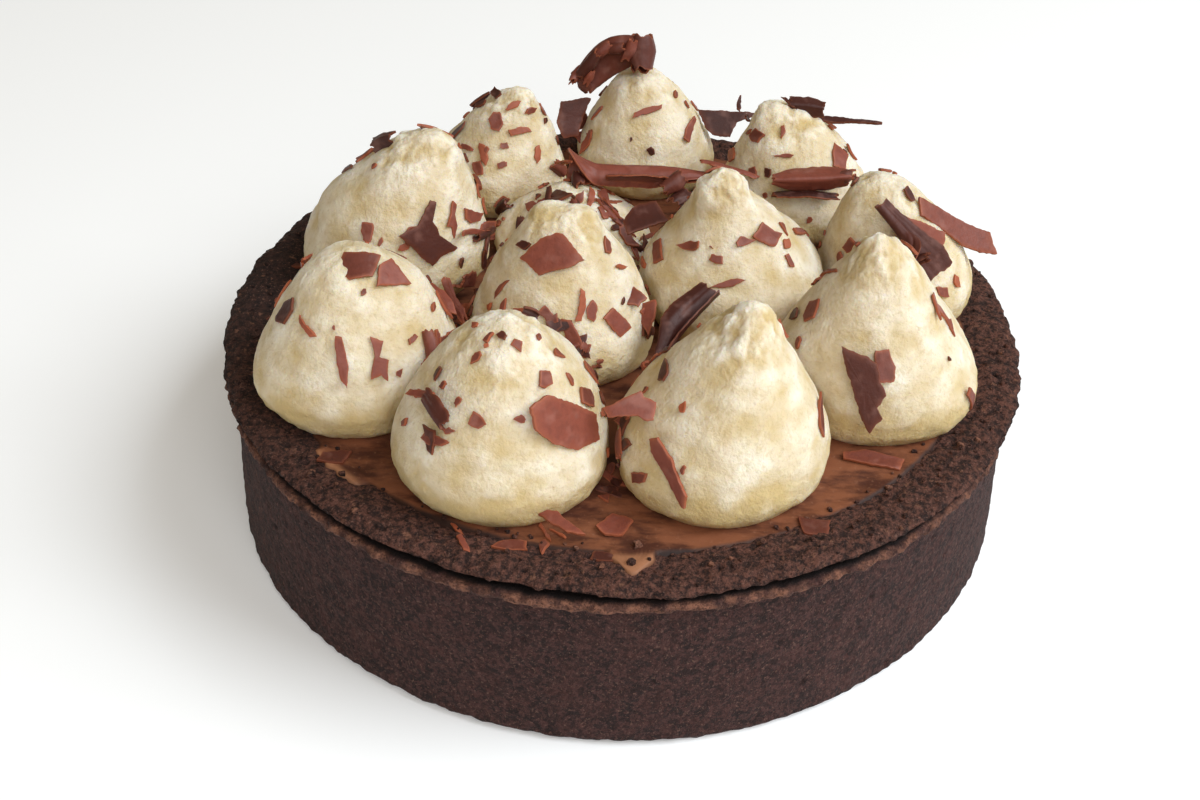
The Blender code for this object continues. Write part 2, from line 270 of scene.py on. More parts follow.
def step_up(value, low, high):
    """0 below low, 1 above high and smooth between."""
    share = np.clip((value - low) / (high - low), 0.0, 1.0)
    return share * share * (3 - 2 * share)


def near_bearing(bearing, middle, width):
    """1 at a bearing, falling smoothly to 0 at width radians either side."""
    away = np.abs((bearing - middle + math.pi) % (2 * math.pi) - math.pi)
    return 1.0 - step_up(away, 0.0, width)


# ---- meshes ----------------------------------------------------------------

def around(radius, bearing, height):
    """Points at a radius, a bearing in radians and a height."""
    across, away = radius * np.cos(bearing), radius * np.sin(bearing)
    return np.stack(np.broadcast_arrays(across, away, height), axis=-1)


def normals_of(points):
    """Outward normals of a grid of rows of points, each row a closed ring."""
    along = np.roll(points, -1, axis=1) - np.roll(points, 1, axis=1)
    across = np.gradient(points, axis=0)
    normal = np.cross(along, across)
    length = np.linalg.norm(normal, axis=2, keepdims=True)
    return normal / np.maximum(length, 1e-9)


def ring_faces(rows, columns):
    """Four-sided faces between neighbouring rings."""
    row = np.arange(rows - 1)[:, None]
    column = np.arange(columns)[None, :]
    following = (column + 1) % columns
    low, high = row * columns, (row + 1) * columns
    corners = (low + column, low + following, high + following, high + column)
    return np.stack(np.broadcast_arrays(*corners), axis=2).reshape(-1, 4).tolist()


def add_piece(name, points, faces, material, nodes=(), marks=None, sharp=None):
    """Make a mesh of points in millimetres, and hide the imported parts it stands for."""
    mesh = bpy.data.meshes.new(name)
    mesh.from_pydata((points.reshape(-1, 3) * MM).tolist(), [], faces)
    for mark, values in (marks or {}).items():
        layer = mesh.attributes.new(mark, "FLOAT", "POINT")
        layer.data.foreach_set("value", np.asarray(values, np.float32).ravel())
    mesh.materials.append(material)
    mesh.shade_smooth()
    if sharp:
        mesh.set_sharp_from_angle(angle=math.radians(sharp))
    item = bpy.data.objects.new(name, mesh)
    bpy.context.scene.collection.objects.link(item)
    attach(item, "root")
    if nodes:
        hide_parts(*nodes)
    return item


def closed_rings(points):
    """Vertices and faces of rings whose first and last are closed by a fan."""
    rows, columns = points.shape[:2]
    faces = ring_faces(rows, columns)
    first, last = rows * columns, rows * columns + 1
    top = (rows - 1) * columns
    for column in range(columns):
        following = (column + 1) % columns
        faces.append((first, following, column))
        faces.append((last, top + column, top + following))
    ends = np.array((points[0].mean(axis=0), points[-1].mean(axis=0)))
    return np.concatenate((points.reshape(-1, 3), ends)), faces


def with_ends(values):
    """Values at a grid's points, then at the two extra points of closed_rings: the
    means of the first and the last ring."""
    return np.concatenate((values.ravel(), (values[0].mean(), values[-1].mean())))


# ---- materials -------------------------------------------------------------

def linear(red, green, blue):
    """A colour given as 0 to 255 on a screen, as Blender's linear values."""
    shown = np.array((red, green, blue)) / 255
    low, high = shown / 12.92, ((shown + 0.055) / 1.055) ** 2.4
    return (*np.where(shown < 0.04045, low, high).tolist(), 1.0)


class Finish:
    """A material that is built up node by node."""

    def __init__(self, name, roughness):
        self.material = bpy.data.materials.new(name)
        self.material.use_nodes = True
        self.nodes = self.material.node_tree.nodes
        self.links = self.material.node_tree.links
        self.shader = self.nodes["Principled BSDF"]
        self.shader.inputs["Roughness"].default_value = roughness
        self.place = self.nodes.new("ShaderNodeTexCoord").outputs["Object"]

    def put(self, socket, value):
        """Link an output to a socket, or set a constant."""
        if isinstance(value, bpy.types.NodeSocket):
            self.links.new(value, socket)
        else:
            socket.default_value = value

    def mark(self, name):
        """A number that the mesh carries at each point."""
        node = self.nodes.new("ShaderNodeAttribute")
        node.attribute_name = name
        return node.outputs["Fac"]

    def stretched(self, x, y, z):
        """The place, with each direction drawn out by its factor."""
        node = self.nodes.new("ShaderNodeMapping")
        node.inputs["Scale"].default_value = (1 / x, 1 / y, 1 / z)
        self.links.new(self.place, node.inputs["Vector"])
        return node.outputs["Vector"]

    def noise(self, size, detail=3.0, rough=0.55, place=None):
        """Cloudy noise from 0 to 1, size in millimetres."""
        node = self.nodes.new("ShaderNodeTexNoise")
        node.inputs["Scale"].default_value = 1 / (size * MM)
        node.inputs["Detail"].default_value = detail
        node.inputs["Roughness"].default_value = rough
        self.links.new(place or self.place, node.inputs["Vector"])
        return node.outputs["Fac"]

    def spots(self, size):
        """Distance to the nearest of scattered centres, size in millimetres."""
        node = self.nodes.new("ShaderNodeTexVoronoi")
        node.inputs["Scale"].default_value = 1 / (size * MM)
        self.links.new(self.place, node.inputs["Vector"])
        return node.outputs["Distance"]

    def range(self, value, low, high, out_low=0.0, out_high=1.0):
        """Stretch the values from low to high over out_low to out_high."""
        node = self.nodes.new("ShaderNodeMapRange")
        node.interpolation_type = "SMOOTHSTEP"
        settings = (low, high, out_low, out_high)
        names = ("From Min", "From Max", "To Min", "To Max")
        for name, setting in zip(names, settings):
            node.inputs[name].default_value = setting
        self.links.new(value, node.inputs["Value"])
        return node.outputs["Result"]

    def maths(self, operation, first, second):
        """Arithmetic on two numbers or outputs."""
        node = self.nodes.new("ShaderNodeMath")
        node.operation = operation
        self.put(node.inputs[0], first)
        self.put(node.inputs[1], second)
        return node.outputs[0]

    def mix(self, share, first, second):
        """Blend two colours."""
        node = self.nodes.new("ShaderNodeMix")
        node.data_type = "RGBA"
        self.put(node.inputs[0], share)
        self.put(node.inputs[6], first)
        self.put(node.inputs[7], second)
        return node.outputs[2]

    def colour(self, value):
        """Set the colour of the surface."""
        self.put(self.shader.inputs["Base Color"], value)

    def bump(self, *layers):
        """Raise the surface by (height output, height in millimetres) layers."""
        normal = None
        for height, amount in layers:
            node = self.nodes.new("ShaderNodeBump")
            node.inputs["Strength"].default_value = 1.0
            node.inputs["Distance"].default_value = amount * MM
            self.links.new(height, node.inputs["Height"])
            if normal:
                self.links.new(normal, node.inputs["Normal"])
            normal = node.outputs["Normal"]
        self.links.new(normal, self.shader.inputs["Normal"])


def crust_finish():
    """Baked cocoa pastry: very dark, matt, speckled, redder on ledge and rim, with painted shade
    in its crack and pits and on the left of its rim.
    """
    made = Finish("cocoa_pastry", 0.80)
    made.shader.inputs["Specular IOR Level"].default_value = 0.22
    grain = made.noise(0.34, 4.0, 0.65)
    patch = made.noise(6.0, 3.0)
    cloud = made.noise(0.9, 4.0, 0.7)
    wall = made.mix(made.range(patch, 0.30, 0.70), linear(50, 31, 29), linear(62, 37, 33))
    blotch = made.range(made.noise(2.4, 4.0, 0.65), 0.40, 0.62)
    wall = made.mix(blotch, linear(38, 25, 24), wall)
    mottle = made.range(made.noise(0.75, 3.0, 0.7), 0.42, 0.62, 0.0, 0.6)
    wall = made.mix(mottle, wall, linear(90, 58, 54))
    rim = made.mix(made.range(cloud, 0.38, 0.64), linear(44, 29, 26), linear(104, 67, 56))
    colour = made.mix(made.mark("rim"), wall, rim)
    # Painted shade on the rim, darkest at the left, where the kisses shade it
    colour = made.mix(made.mark("baked"), colour, linear(34, 25, 23))
    ledge = made.mix(made.range(cloud, 0.40, 0.60), linear(92, 60, 50), linear(142, 96, 76))
    colour = made.mix(made.mark("ledge"), colour, ledge)
    crumbs = made.range(made.noise(1.1), 0.60, 0.70, 0.0, 0.45)
    crumbs = made.maths("MULTIPLY", made.mark("rim"), crumbs)
    colour = made.mix(crumbs, colour, linear(142, 98, 76))
    light_specks = made.range(made.noise(0.40, 2.0, 0.7), 0.59, 0.69, 0.0, 0.42)
    colour = made.mix(light_specks, colour, linear(140, 104, 90))
    dark_specks = made.range(grain, 0.34, 0.48, 0.70, 0.0)
    colour = made.mix(dark_specks, colour, linear(36, 24, 21))
    # Painted shade in the crack and the pits
    colour = made.mix(made.mark("painted_shade"), colour, linear(18, 12, 11))
    made.colour(colour)
    made.bump((cloud, 0.40), (grain, 0.30), (made.spots(0.34), 0.08))
    return made.material


def filling_finish():
    """Set chocolate filling: satin brown, marbled darker and lighter, with painted shade at its
    edge and on its front left.
    """
    made = Finish("filling_set", 0.55)
    made.shader.inputs["Specular IOR Level"].default_value = 0.22
    flow = made.stretched(2.4, 1.0, 1.0)
    marble = made.noise(3.2, 4.0, 0.6, flow)
    colour = made.mix(made.range(marble, 0.36, 0.60), linear(76, 42, 31), linear(130, 79, 54))
    fine = made.noise(0.7, 3.0, 0.6)
    colour = made.mix(made.range(fine, 0.58, 0.74, 0.0, 0.4), colour, linear(150, 104, 80))
    pale = made.maths("MULTIPLY", made.mark("pale"), 0.8)
    colour = made.mix(pale, colour, linear(168, 116, 84))
    # The edge mark is painted shade: a dark line where the filling meets the rim, and shade on
    # the front left
    edge = made.maths("MULTIPLY", made.mark("edge"), 0.90)
    colour = made.mix(edge, colour, linear(30, 18, 15))
    made.colour(colour)
    made.bump((marble, 0.12), (fine, 0.05))
    return made.material


def cream_finish():
    """Whipped cream: matt ivory, olive in painted shade in its hollows and near its foot."""
    made = Finish("whipped_cream", 0.78)
    shader = made.shader
    shader.inputs["Specular IOR Level"].default_value = 0.16
    shader.inputs["Subsurface Weight"].default_value = 0.50
    shader.inputs["Subsurface Radius"].default_value = (1.0, 0.72, 0.34)
    shader.inputs["Subsurface Scale"].default_value = 2.2 * MM
    soft = made.noise(4.5, 3.0)
    colour = made.mix(made.range(soft, 0.35, 0.68), linear(228, 214, 189), linear(241, 232, 214))
    # Olive painted shade in the hollows and near the foot
    painted_shade = made.range(made.mark("painted_shade"), 0.0, 1.2, 0.0, 0.85)
    colour = made.mix(painted_shade, colour, linear(200, 172, 112))
    pores = made.noise(0.8, 4.0, 0.65)
    colour = made.mix(made.range(pores, 0.34, 0.50, 0.30, 0.0), colour, linear(190, 166, 116))
    made.colour(colour)
    fine = made.noise(0.55, 4.0, 0.6)
    lumps = made.noise(1.6, 3.0, 0.55)
    made.bump((lumps, 0.22), (fine, 0.30))
    return made.material


def chocolate_finish(name, broken):
    """Chocolate: satin, from dark to orange by piece, lighter where it is broken."""
    made = Finish(name, 0.48)
    made.shader.inputs["Specular IOR Level"].default_value = 0.28
    tone = made.mark("tone")
    dark_half = made.range(tone, 0.0, 0.5)
    light_half = made.range(tone, 0.5, 1.0)
    colour = made.mix(dark_half, linear(54, 25, 20), linear(134, 70, 55))
    colour = made.mix(light_half, colour, linear(176, 92, 56))
    cloud = made.noise(1.1, 3.0, 0.6)
    colour = made.mix(made.range(cloud, 0.40, 0.70, 0.0, 0.22), colour, linear(64, 34, 30))
    bloom = made.noise(2.6, 2.0)
    colour = made.mix(made.range(bloom, 0.50, 0.75, 0.0, 0.22), colour, linear(176, 128, 116))
    worn = made.maths("MULTIPLY", made.mark("broken"), broken)
    colour = made.mix(worn, colour, linear(176, 98, 64))
    made.colour(colour)
    made.bump((cloud, 0.08), (made.noise(0.35, 2.0), 0.04))
    return made.material


# ---- case ------------------------------------------------------------------

def case_rings():
    """Radius and height of every ring of the case, resampled from its outline."""
    radii, heights = [CASE_OUTLINE[0][0] + 0.5], [CASE_OUTLINE[0][1]]
    for start, end in zip(CASE_OUTLINE, CASE_OUTLINE[1:]):
        length = math.hypot(end[0] - start[0], end[1] - start[1])
        steps = max(1, round(length / end[2]))
        for step in range(1, steps + 1):
            share = step / steps
            radii.append(max(0.5, start[0] + share * (end[0] - start[0])))
            heights.append(start[1] + share * (end[1] - start[1]))
    return np.array(radii), np.array(heights)


def left_rim_shade_share(bearing):
    """How much painted shade darkens the rim at a bearing: most at the left."""
    return 0.75 * near_bearing(bearing, MOST_SHADED, 1.5)


def dotted(points, spacing, seed, chosen, low, high):
    """1 at the middle of the chosen ones of scattered spots, 0 outside them."""
    reach, number = cells(points, spacing, seed)
    return np.where(chosen(number), 1.0 - step_up(reach, low, high), 0.0)


CaseGrid = namedtuple("CaseGrid", "radii heights turn circle ring outside upper on_wall "
                                  "on_ledge on_rim beside_crack")


def case_grid():
    """The rings of the case as they are before they are made uneven, and which of
    them belong to its wall, ledge, rim and crack."""
    radii, heights = case_rings()
    in_gap = (np.abs(heights - CRACK_MIDDLE) < 0.6) & (radii > CRACK_INNER)
    crack_row = int(np.argmin(np.where(in_gap, radii, radii.max())))
    row = np.arange(len(radii))[:, None]
    radii, heights = radii[:, None], heights[:, None]
    bearing = np.linspace(0, 2 * math.pi, CASE_COLUMNS, endpoint=False)
    turn = np.broadcast_to(bearing, (len(radii), CASE_COLUMNS))
    circle = around(NOISE_RADIUS, turn, heights)
    outside = row <= crack_row
    upper = ~outside & (heights > RIM_BOTTOM)
    on_ledge = (heights > LEDGE_BAND[0]) & (heights < LEDGE_BAND[1])
    return CaseGrid(radii, heights, turn, circle, circle * (1, 1, 0), outside, upper,
                    on_wall=outside & (heights < WALL_TOP),
                    on_ledge=on_ledge & outside & (radii > LEDGE_INNER),
                    on_rim=upper & (radii > RIM_INNER),
                    beside_crack=(np.abs(row - crack_row) < CRACK_ROWS) & (heights < CRACK_TOP))


def crack_opening(grid):
    """How far the crack under the rim is open: most at the front left."""
    crack_open = CRACK_WIDTH + 0.75 * near_bearing(grid.turn, FRONT - 0.75, 0.85)
    crack_open = crack_open + bumps(grid.ring, *CRACK_WIDENS)
    return crack_open * (1.0 - 0.6 * near_bearing(grid.turn, 0.35, 0.8))


def uneven_case(grid, crack_open):
    """Points of the case, with its wall and rim leaning and its rim lifted."""
    radii, heights, turn = grid.radii, grid.heights, grid.turn
    # The rim stands out less at the front
    rim_out = bumps(grid.ring, *RIM_LEANS)
    rim_out = rim_out - 0.70 * near_bearing(turn, FRONT, 1.3)
    rim_out = rim_out + 0.35 * near_bearing(turn, FRONT + 0.9, 0.6)
    rim_out = rim_out * step_up(radii, 55.0, 59.5)
    outer = grid.upper & (radii > 54.0)
    radius = radii + np.where(outer, rim_out, 0.0)
    lift = np.clip(0.5 * crack_open, 0.0, MOST_LIFTED)
    lift = np.where(outer & (radius > 56.5), lift, 0.0)
    underside = (heights < 27.0) & grid.upper
    height = heights + np.where(underside, lift, lift * 0.25)
    near_crack = np.exp(-((heights - CRACK_MIDDLE) / 1.1) ** 2) * (radii > 55.5)
    height = height + near_crack * bumps(grid.ring, *CRACK_WANDERS)
    height = height + np.where(grid.upper, bumps(grid.ring, *RIM_RISES), 0.0)
    bulge = bumps(grid.circle, *LEDGE_BULGES) + LEDGE_OUT
    radius = radius + np.where(grid.on_ledge, bulge, 0.0)
    below = grid.outside & (heights < LEDGE_BAND[0])
    radius = radius + np.where(below, bumps(grid.ring, *WALL_LEANS), 0.0)
    return around(radius, turn, height)


def rough_case(grid, points):
    """The case's points with grain, pits and crumbs, and how much painted shade darkens its pits.
    """
    pit = dotted(points, PIT_SPACING, 3, lambda number: number > 0.66, 0.06, 0.20)
    hole = dotted(points, HOLE_SPACING, 5, lambda number: number > 0.62, 0.10, 0.36)
    knob = dotted(points, HOLE_SPACING, 5, lambda number: number < 0.30, 0.15, 0.42)
    grain = bumps(points, *WALL_GRAIN) - PIT_DEPTH * pit
    crumbly = bumps(points, *RIM_CRUMBS) - HOLE_DEPTH * hole + KNOB_HEIGHT * knob
    push = np.where(grid.on_wall, grain, 0.0) + np.where(grid.on_rim, crumbly, 0.0)
    push = push + np.where(grid.on_ledge, bumps(points, *LEDGE_GRAIN), 0.0)
    foot = np.exp(-((grid.heights - 0.6) / 1.0) ** 2) * grid.outside
    push = push + foot * bumps(points, *FOOT_GRAIN)
    hidden = ~grid.outside & (grid.heights < 26.0) & (grid.radii < 51.2)
    shown = step_up(grid.radii, 47.0, 50.0) * (grid.heights > 0.05) * np.where(hidden, 0.0, 1.0)
    points = points + normals_of(points) * (push * shown)[:, :, None]
    points[:, :, 2] = np.maximum(points[:, :, 2], 0.0)
    return points, 0.45 * pit * grid.on_wall + 0.70 * hole * grid.on_rim


def case_marks(grid, crack_open, pit_shade):
    """Painted shade in the case's crack and pits, where it is ledge and rim, and how much painted
    shade falls on the left of its rim.
    """
    turn = grid.turn
    # Painted shade in the crack, deeper where it is open, fading out towards its mouth
    crack_shade = np.where(grid.beside_crack, 1 - step_up(grid.radii, *CRACK_FADES), 0.0)
    crack_shade = crack_shade * np.clip(0.65 + 0.8 * crack_open, 0.0, 1.0)
    ledge = grid.on_ledge * step_up(noise(grid.circle, 2.4, 15.0), -0.7, 0.3)
    ledge = ledge * (0.70 + 0.30 * near_bearing(turn, FRONT - 0.3, 1.7))
    values = {
        "painted_shade": np.clip(0.95 * crack_shade + pit_shade, 0, 1),
        "ledge": ledge * (1 - 0.8 * crack_shade),
        "rim": grid.on_rim * np.ones_like(turn),
        "baked": grid.on_rim * left_rim_shade_share(turn),
    }
    return {mark: with_ends(value) for mark, value in values.items()}


def build_case():
    """The shortcrust case: grainy wall, crack under the rim and crumbly rim.
    Returns the points of its rim, and its material."""
    grid = case_grid()
    crack_open = crack_opening(grid)
    points, pit_shade = rough_case(grid, uneven_case(grid, crack_open))
    marks = case_marks(grid, crack_open, pit_shade)
    vertices, faces = closed_rings(points)
    material = crust_finish()
    add_piece("case", vertices, faces, material, ["crust"], marks)
    return points[points[..., 2] > 26.5], material


# ---- filling ---------------------------------------------------------------

def filling_edge(turn):
    """Radius of the filling's edge, and where it has run over the rim."""
    ring = around(EDGE_NOISE_RADIUS, turn, 0.0)
    smear = sum(reach * near_bearing(turn, bearing, width) for bearing, reach, width in SMEARS)
    smear *= 1.0 + 0.35 * noise(ring, 1.6, 26.0)
    edge = FILLING_EDGE + bumps(ring, *EDGE_WANDERS) + TUCKED_UNDER + smear
    return edge, step_up(smear, 0.15, 0.8)


def filling_surface(turn, edge, smeared):
    """Points of the filling's top from its middle outwards, and its marks."""
    share = np.concatenate((np.linspace(0.03, 0.75, 18), np.linspace(0.765, 1.0, 52)))[:, None]
    radius = share * edge
    points = around(radius, turn, 0.0)
    wave = bumps(points * STREAK_STRETCH, STREAKS) + bumps(points, *FILLING_WAVES)
    away = edge - radius
    lip = 0.12 * np.exp(-((away - 1.6) / 0.8) ** 2)
    rim_level = np.interp(radius, RIM_INNER_RADII, RIM_INNER_HEIGHTS) - FILLING_TOP
    over_rim = smeared * (0.30 + np.maximum(rim_level, 0.0)) * step_up(radius, 50.2, 51.6)
    thin = step_up(away, 0.0, 0.5)
    sunk = 0.7 * step_up(radius, 51.5, 52.5) * (1 - smeared)
    height = FILLING_TOP + 0.06 + wave * (0.35 + 0.65 * thin) + lip + over_rim * thin - sunk
    points[:, :, 2] = height - 0.9 * (1 - thin)

    # Painted shade, carried by the edge mark: dark where the filling meets the rim and at its
    # very edge, and on the front left, but not where it has run over the rim
    meets_rim = step_up(radius, 51.2, 51.9) * (1 - smeared)
    darker = np.maximum(meets_rim, np.exp(-(away / 0.35) ** 2))
    shaded = 0.5 * near_bearing(turn, FRONT - 1.15, 0.7) * (1 - smeared)
    pale = smeared * step_up(radius, 52.0, 53.2)
    return points, {"edge": np.maximum(darker, shaded), "pale": pale}


def build_filling():
    """The filling: a soft wavy surface whose edge runs over the rim in places.
    Returns the points of its surface."""
    turn = np.linspace(0, 2 * math.pi, FILLING_COLUMNS, endpoint=False)
    top, values = filling_surface(turn, *filling_edge(turn))
    skirt = top[-1].copy()
    skirt[:, 2] = FILLING_TOP - SKIRT_DROP
    skirt[:, :2] *= (SKIRT_RADIUS / np.linalg.norm(skirt[:, :2], axis=1))[:, None]
    foot = around(FILLING_FOOT_RADIUS, turn, FILLING_FOOT)
    points = np.concatenate((foot[None], skirt[None], top[::-1]))
    # The hidden side gets full painted shade in the edge mark, and no pale smear
    below = {"edge": 1.0, "pale": 0.0}
    marks = {}
    for mark, value in values.items():
        hidden = np.full((2, FILLING_COLUMNS), below[mark])
        marks[mark] = with_ends(np.concatenate((hidden, value[::-1])))
    vertices, faces = closed_rings(points)
    add_piece("filling_top", vertices, faces, filling_finish(), ["filling"], marks)
    return points[2:].reshape(-1, 3)


# ---- cream -----------------------------------------------------------------

def kiss_outline(kiss, up):
    """A kiss's radius at shares of its height."""
    shares = np.array(KISS_OUTLINE)
    radius = np.interp(up, shares[:, 0], shares[:, 1])
    soft = sum(np.interp(np.clip(up + nudge, 0, 1), shares[:, 0], shares[:, 1])
               for nudge in (-0.04, -0.02, 0.02, 0.04)) / 4
    radius = np.where(up < 0.93, 0.4 * radius + 0.6 * soft, radius)
    share = np.clip((up - BLUNT_FROM) / BLUNT_SPAN, 0, 1)
    swell = kiss.blunt * BLUNT_SWELL * np.sin(math.pi * share)
    return kiss.radius * (radius + swell * step_up(1.0 - up, 0.0, 0.05))


def hold_back(points, kiss):
    """Press a kiss's points back softly from every neighbour."""
    for other in KISSES:
        across = np.array((other.x - kiss.x, other.y - kiss.y))
        distance = np.linalg.norm(across)
        if distance < 1.0 or distance > (kiss.radius + other.radius) * 1.2:
            continue
        across = across / distance
        limit = (distance ** 2 + kiss.radius ** 2 - other.radius ** 2) / (2 * distance)
        limit = limit - NEIGHBOUR_GAP
        reach = (points[..., :2] - (kiss.x, kiss.y)) @ across
        held = limit - SOFTNESS * np.logaddexp(0.0, -(reach - limit) / SOFTNESS)
        points[..., :2] += (held - reach)[..., None] * across


def kiss_shape(kiss, up, seed):
    """Points of a piped kiss, foot to tip, pressed back by its neighbours."""
    turn = np.linspace(0, 2 * math.pi, KISS_COLUMNS, endpoint=False)[None, :]
    radius = kiss_outline(kiss, up) + 0 * turn
    slope = around(1.0, turn, 2.2 * up)
    radius = radius * (1 + 0.06 * noise(slope, 1.1, seed))
    lean = kiss.lean * up ** 2
    sway = 0.5 * noise(np.stack((3 * up[:, 0], 0 * up[:, 0] + seed, 0 * up[:, 0]), 1), 1.0, 3.0)
    points = np.stack((radius * np.cos(turn) + lean + sway[:, None] * up,
                       radius * np.sin(turn) + sway[::-1, None] * up,
                       kiss.height * up + 0 * turn), axis=2)
    points += (kiss.x, kiss.y, KISS_FOOT)
    hold_back(points, kiss)
    hold_back(points, kiss)
    return points


def dabs_on(kiss, points, up):
    """How far the swellings and hollows of a kiss push each of its points out."""
    push = 0.0
    for dab in DABS:
        if dab.kiss == kiss.name:
            row = int(np.argmin(np.abs(up[:, 0] - dab.up)))
            column = int(round(math.radians(dab.bearing) / (2 * math.pi) * KISS_COLUMNS))
            away = np.linalg.norm(points - points[row, column % KISS_COLUMNS], axis=2)
            push = push + dab.out * np.exp(-(away / dab.width) ** 2)
    return push


def kiss_surface(kiss, seed):
    """Points of a piped kiss, foot to tip, and where its hollows and foot get painted shade."""
    up = np.linspace(0, 1, KISS_ROWS) ** 0.93
    up = (1 - (1 - up) ** 1.25)[:, None]
    points = kiss_shape(kiss, up, seed)
    # Soft folds that run round the kiss, creamy lumps, a torn tip and a lumpy foot
    folds = fractal(points * np.array((0.35, 0.35, 1.0)), 3.2, 2, seed + 30.0)
    lumps = fractal(points, 4.2, 3, seed + 31.0)
    small = noise(points, 1.1, seed + 32.0)
    torn = step_up(up, 0.72, 0.95) * kiss.rough
    rough_tip = fractal(points * np.array((1.0, 1.0, 0.5)), 2.2, 3, seed + 33.0)
    near_foot = 1.0 - step_up(up, 0.08, 0.36)
    foot_lumps = fractal(points * np.array((1.0, 1.0, 0.7)), 2.0, 2, seed + 34.0)
    push = FOLD_HEIGHT * folds + LUMP_HEIGHT * lumps + FINE_HEIGHT * small
    push = push + torn * TIP_HEIGHT * rough_tip + dabs_on(kiss, points, up)
    push = (push + near_foot * FOOT_HEIGHT * foot_lumps) * step_up(up, 0.0, 0.06)
    # Painted shade: more in the dips between lumps, folds and the torn tip, and near the foot
    painted_shade = 0.5 - 0.9 * (0.5 * lumps + 0.3 * folds + torn * rough_tip) + 0.7 * near_foot
    return points + normals_of(points) * push[:, :, None], np.clip(painted_shade, 0, 1.2)


def build_kisses():
    """All the cream kisses. Returns each one's surface, by name."""
    finish = cream_finish()
    surfaces = {}
    for index, kiss in enumerate(KISSES):
        points, painted_shade = kiss_surface(kiss, index + 1.0)
        vertices, faces = closed_rings(points)
        marks = {"painted_shade": with_ends(painted_shade)}
        node = "kiss_" + kiss.name
        add_piece("cream_" + kiss.name, vertices, faces, finish, [node], marks)
        surfaces[kiss.name] = points
    return surfaces


# ---- chocolate -------------------------------------------------------------

TOWARDS_FRONT = np.array((0.0, -0.76, 0.65))   # the side from which flat pieces are seen
FLAKE_THICKNESS = 0.42
EDGE_BAND = 0.22                     # width of the lighter broken edge of a flake
DARK_BELOW = 0.25                    # a piece darker than this tone is dark chocolate
SMALL_DARKER = 0.88                  # small flakes are darker than their tone by this
DROP_FROM = 70.0                     # splinters in a heap fall from this height
MOST_LOWERED = 1.6                   # a piece higher than this above the cream stays up

# Flat broken shards: the node each stands for, its outline in millimetres from the
# node's middle (across, up its slope), thickness, how far it bends, its tone from
# dark 0 to orange 1, and the share of it that is pressed into the cream
Shard = namedtuple("Shard", "node outline thick bend tone press")
SHARDS = (
    Shard("shard_front", ((-8.0, 3.3), (-5.3, 4.9), (-2.4, 4.1), (3.8, 2.3), (4.6, -1.0),
                          (0.0, -2.1), (-4.0, -1.2), (-6.8, 0.5)), 0.55, 0.5, 0.46, 0.15),
    Shard("shard_centre", ((-3.9, 0.6), (-0.7, 3.3), (1.1, 3.9), (2.1, 3.8), (5.2, 0.2),
                           (3.0, -1.0), (2.1, -1.0), (-1.1, -1.9)), 0.55, 0.3, 0.52, 0.2),
    Shard("shard_right", ((-3.0, 6.0), (0.6, 4.8), (1.8, 4.0), (2.4, 1.6), (3.3, -0.1),
                          (2.2, -1.8), (3.0, -3.2), (1.5, -5.3), (0.3, -3.6), (-0.9, -0.3),
                          (-2.5, 3.8)), 0.55, 0.4, 0.16, 0.15),
    Shard("shard_star", ((-0.5, 6.7), (0.4, 6.4), (-0.2, 3.6), (0.9, 1.5), (3.7, -0.6),
                         (0.9, -1.8), (-0.3, -3.0), (-3.2, -0.3), (-5.3, 1.6), (-2.5, 3.0)),
          0.55, 0.3, 0.15, 0.2),
    Shard("shard_gap", ((-4.2, 0.6), (0.4, 2.9), (0.9, 2.1), (2.4, 1.5), (2.1, -0.8),
                        (1.0, -0.9), (0.2, -0.3), (-3.6, -0.6)), 0.50, 0.3, 0.42, 0.1),
    Shard("stick_front", ((-2.3, 4.0), (-1.1, 4.3), (1.1, 1.8), (3.3, -2.6), (3.2, -4.1),
                          (2.5, -3.7), (0.3, -0.4), (-2.0, 2.4)), 0.60, 0.3, 0.36, 0.25),
    Shard("shard_middle", ((-1.2, 1.6), (2.1, 2.8), (4.0, -0.8), (-2.1, -3.4), (-2.9, -1.2)),
          0.50, 0.2, 0.14, 0.05),
    Shard("shard_far_right", ((-7.5, 1.8), (-5.7, 3.3), (-2.4, 2.9), (2.7, 1.8), (2.3, 0.1),
                              (-0.1, -1.9), (-3.2, -1.1), (-5.5, 0.0)), 0.50, 0.3, 0.44, 0.1),
    Shard("shard_outer", ((-9.0, 2.2), (-5.3, 1.6), (5.1, -0.5), (6.4, -3.7), (3.3, -3.9),
                          (-0.3, -3.5), (-4.1, -1.9), (-8.6, -0.5)), 0.50, -0.4, 0.36, 0.05),
    Shard("shard_back_left", ((-2.5, 3.3), (1.5, 4.1), (2.6, 4.0), (0.9, -0.5), (0.6, -2.3),
                              (-2.0, -2.8), (-3.2, -0.3)), 0.55, 0.4, 0.16, 0.05),
    Shard("shard_back", ((-5.4, 1.3), (0.0, 1.2), (6.0, 1.0), (1.6, -0.6), (0.4, -3.2),
                         (-2.6, -3.0), (-4.0, -1.6)), 0.50, 0.3, 0.10, 0.05),
    Shard("shard_filling", ((-4.2, 3.4), (-0.6, 2.6), (1.4, 0.6), (3.0, -0.8), (0.7, -0.6),
                            (-1.5, 0.9)), 0.50, 0.5, 0.40, 0.0),
    Shard("shard_filling_right", ((-4.3, 1.9), (-1.2, 2.3), (4.0, 1.1), (3.1, -1.0),
                                  (-0.5, -0.4), (-4.3, 0.8)), 0.45, 0.3, 0.30, 0.0),
    Shard("stick_back_right", ((-6.7, 0.3), (-5.5, 0.7), (-3.1, 0.6), (-0.9, 0.3),
                               (4.4, 0.1), (4.4, -0.2), (-0.6, -0.3), (-2.7, -0.7),
                               (-4.7, -0.4)), 0.50, 0.1, 0.10, 0.05),
)

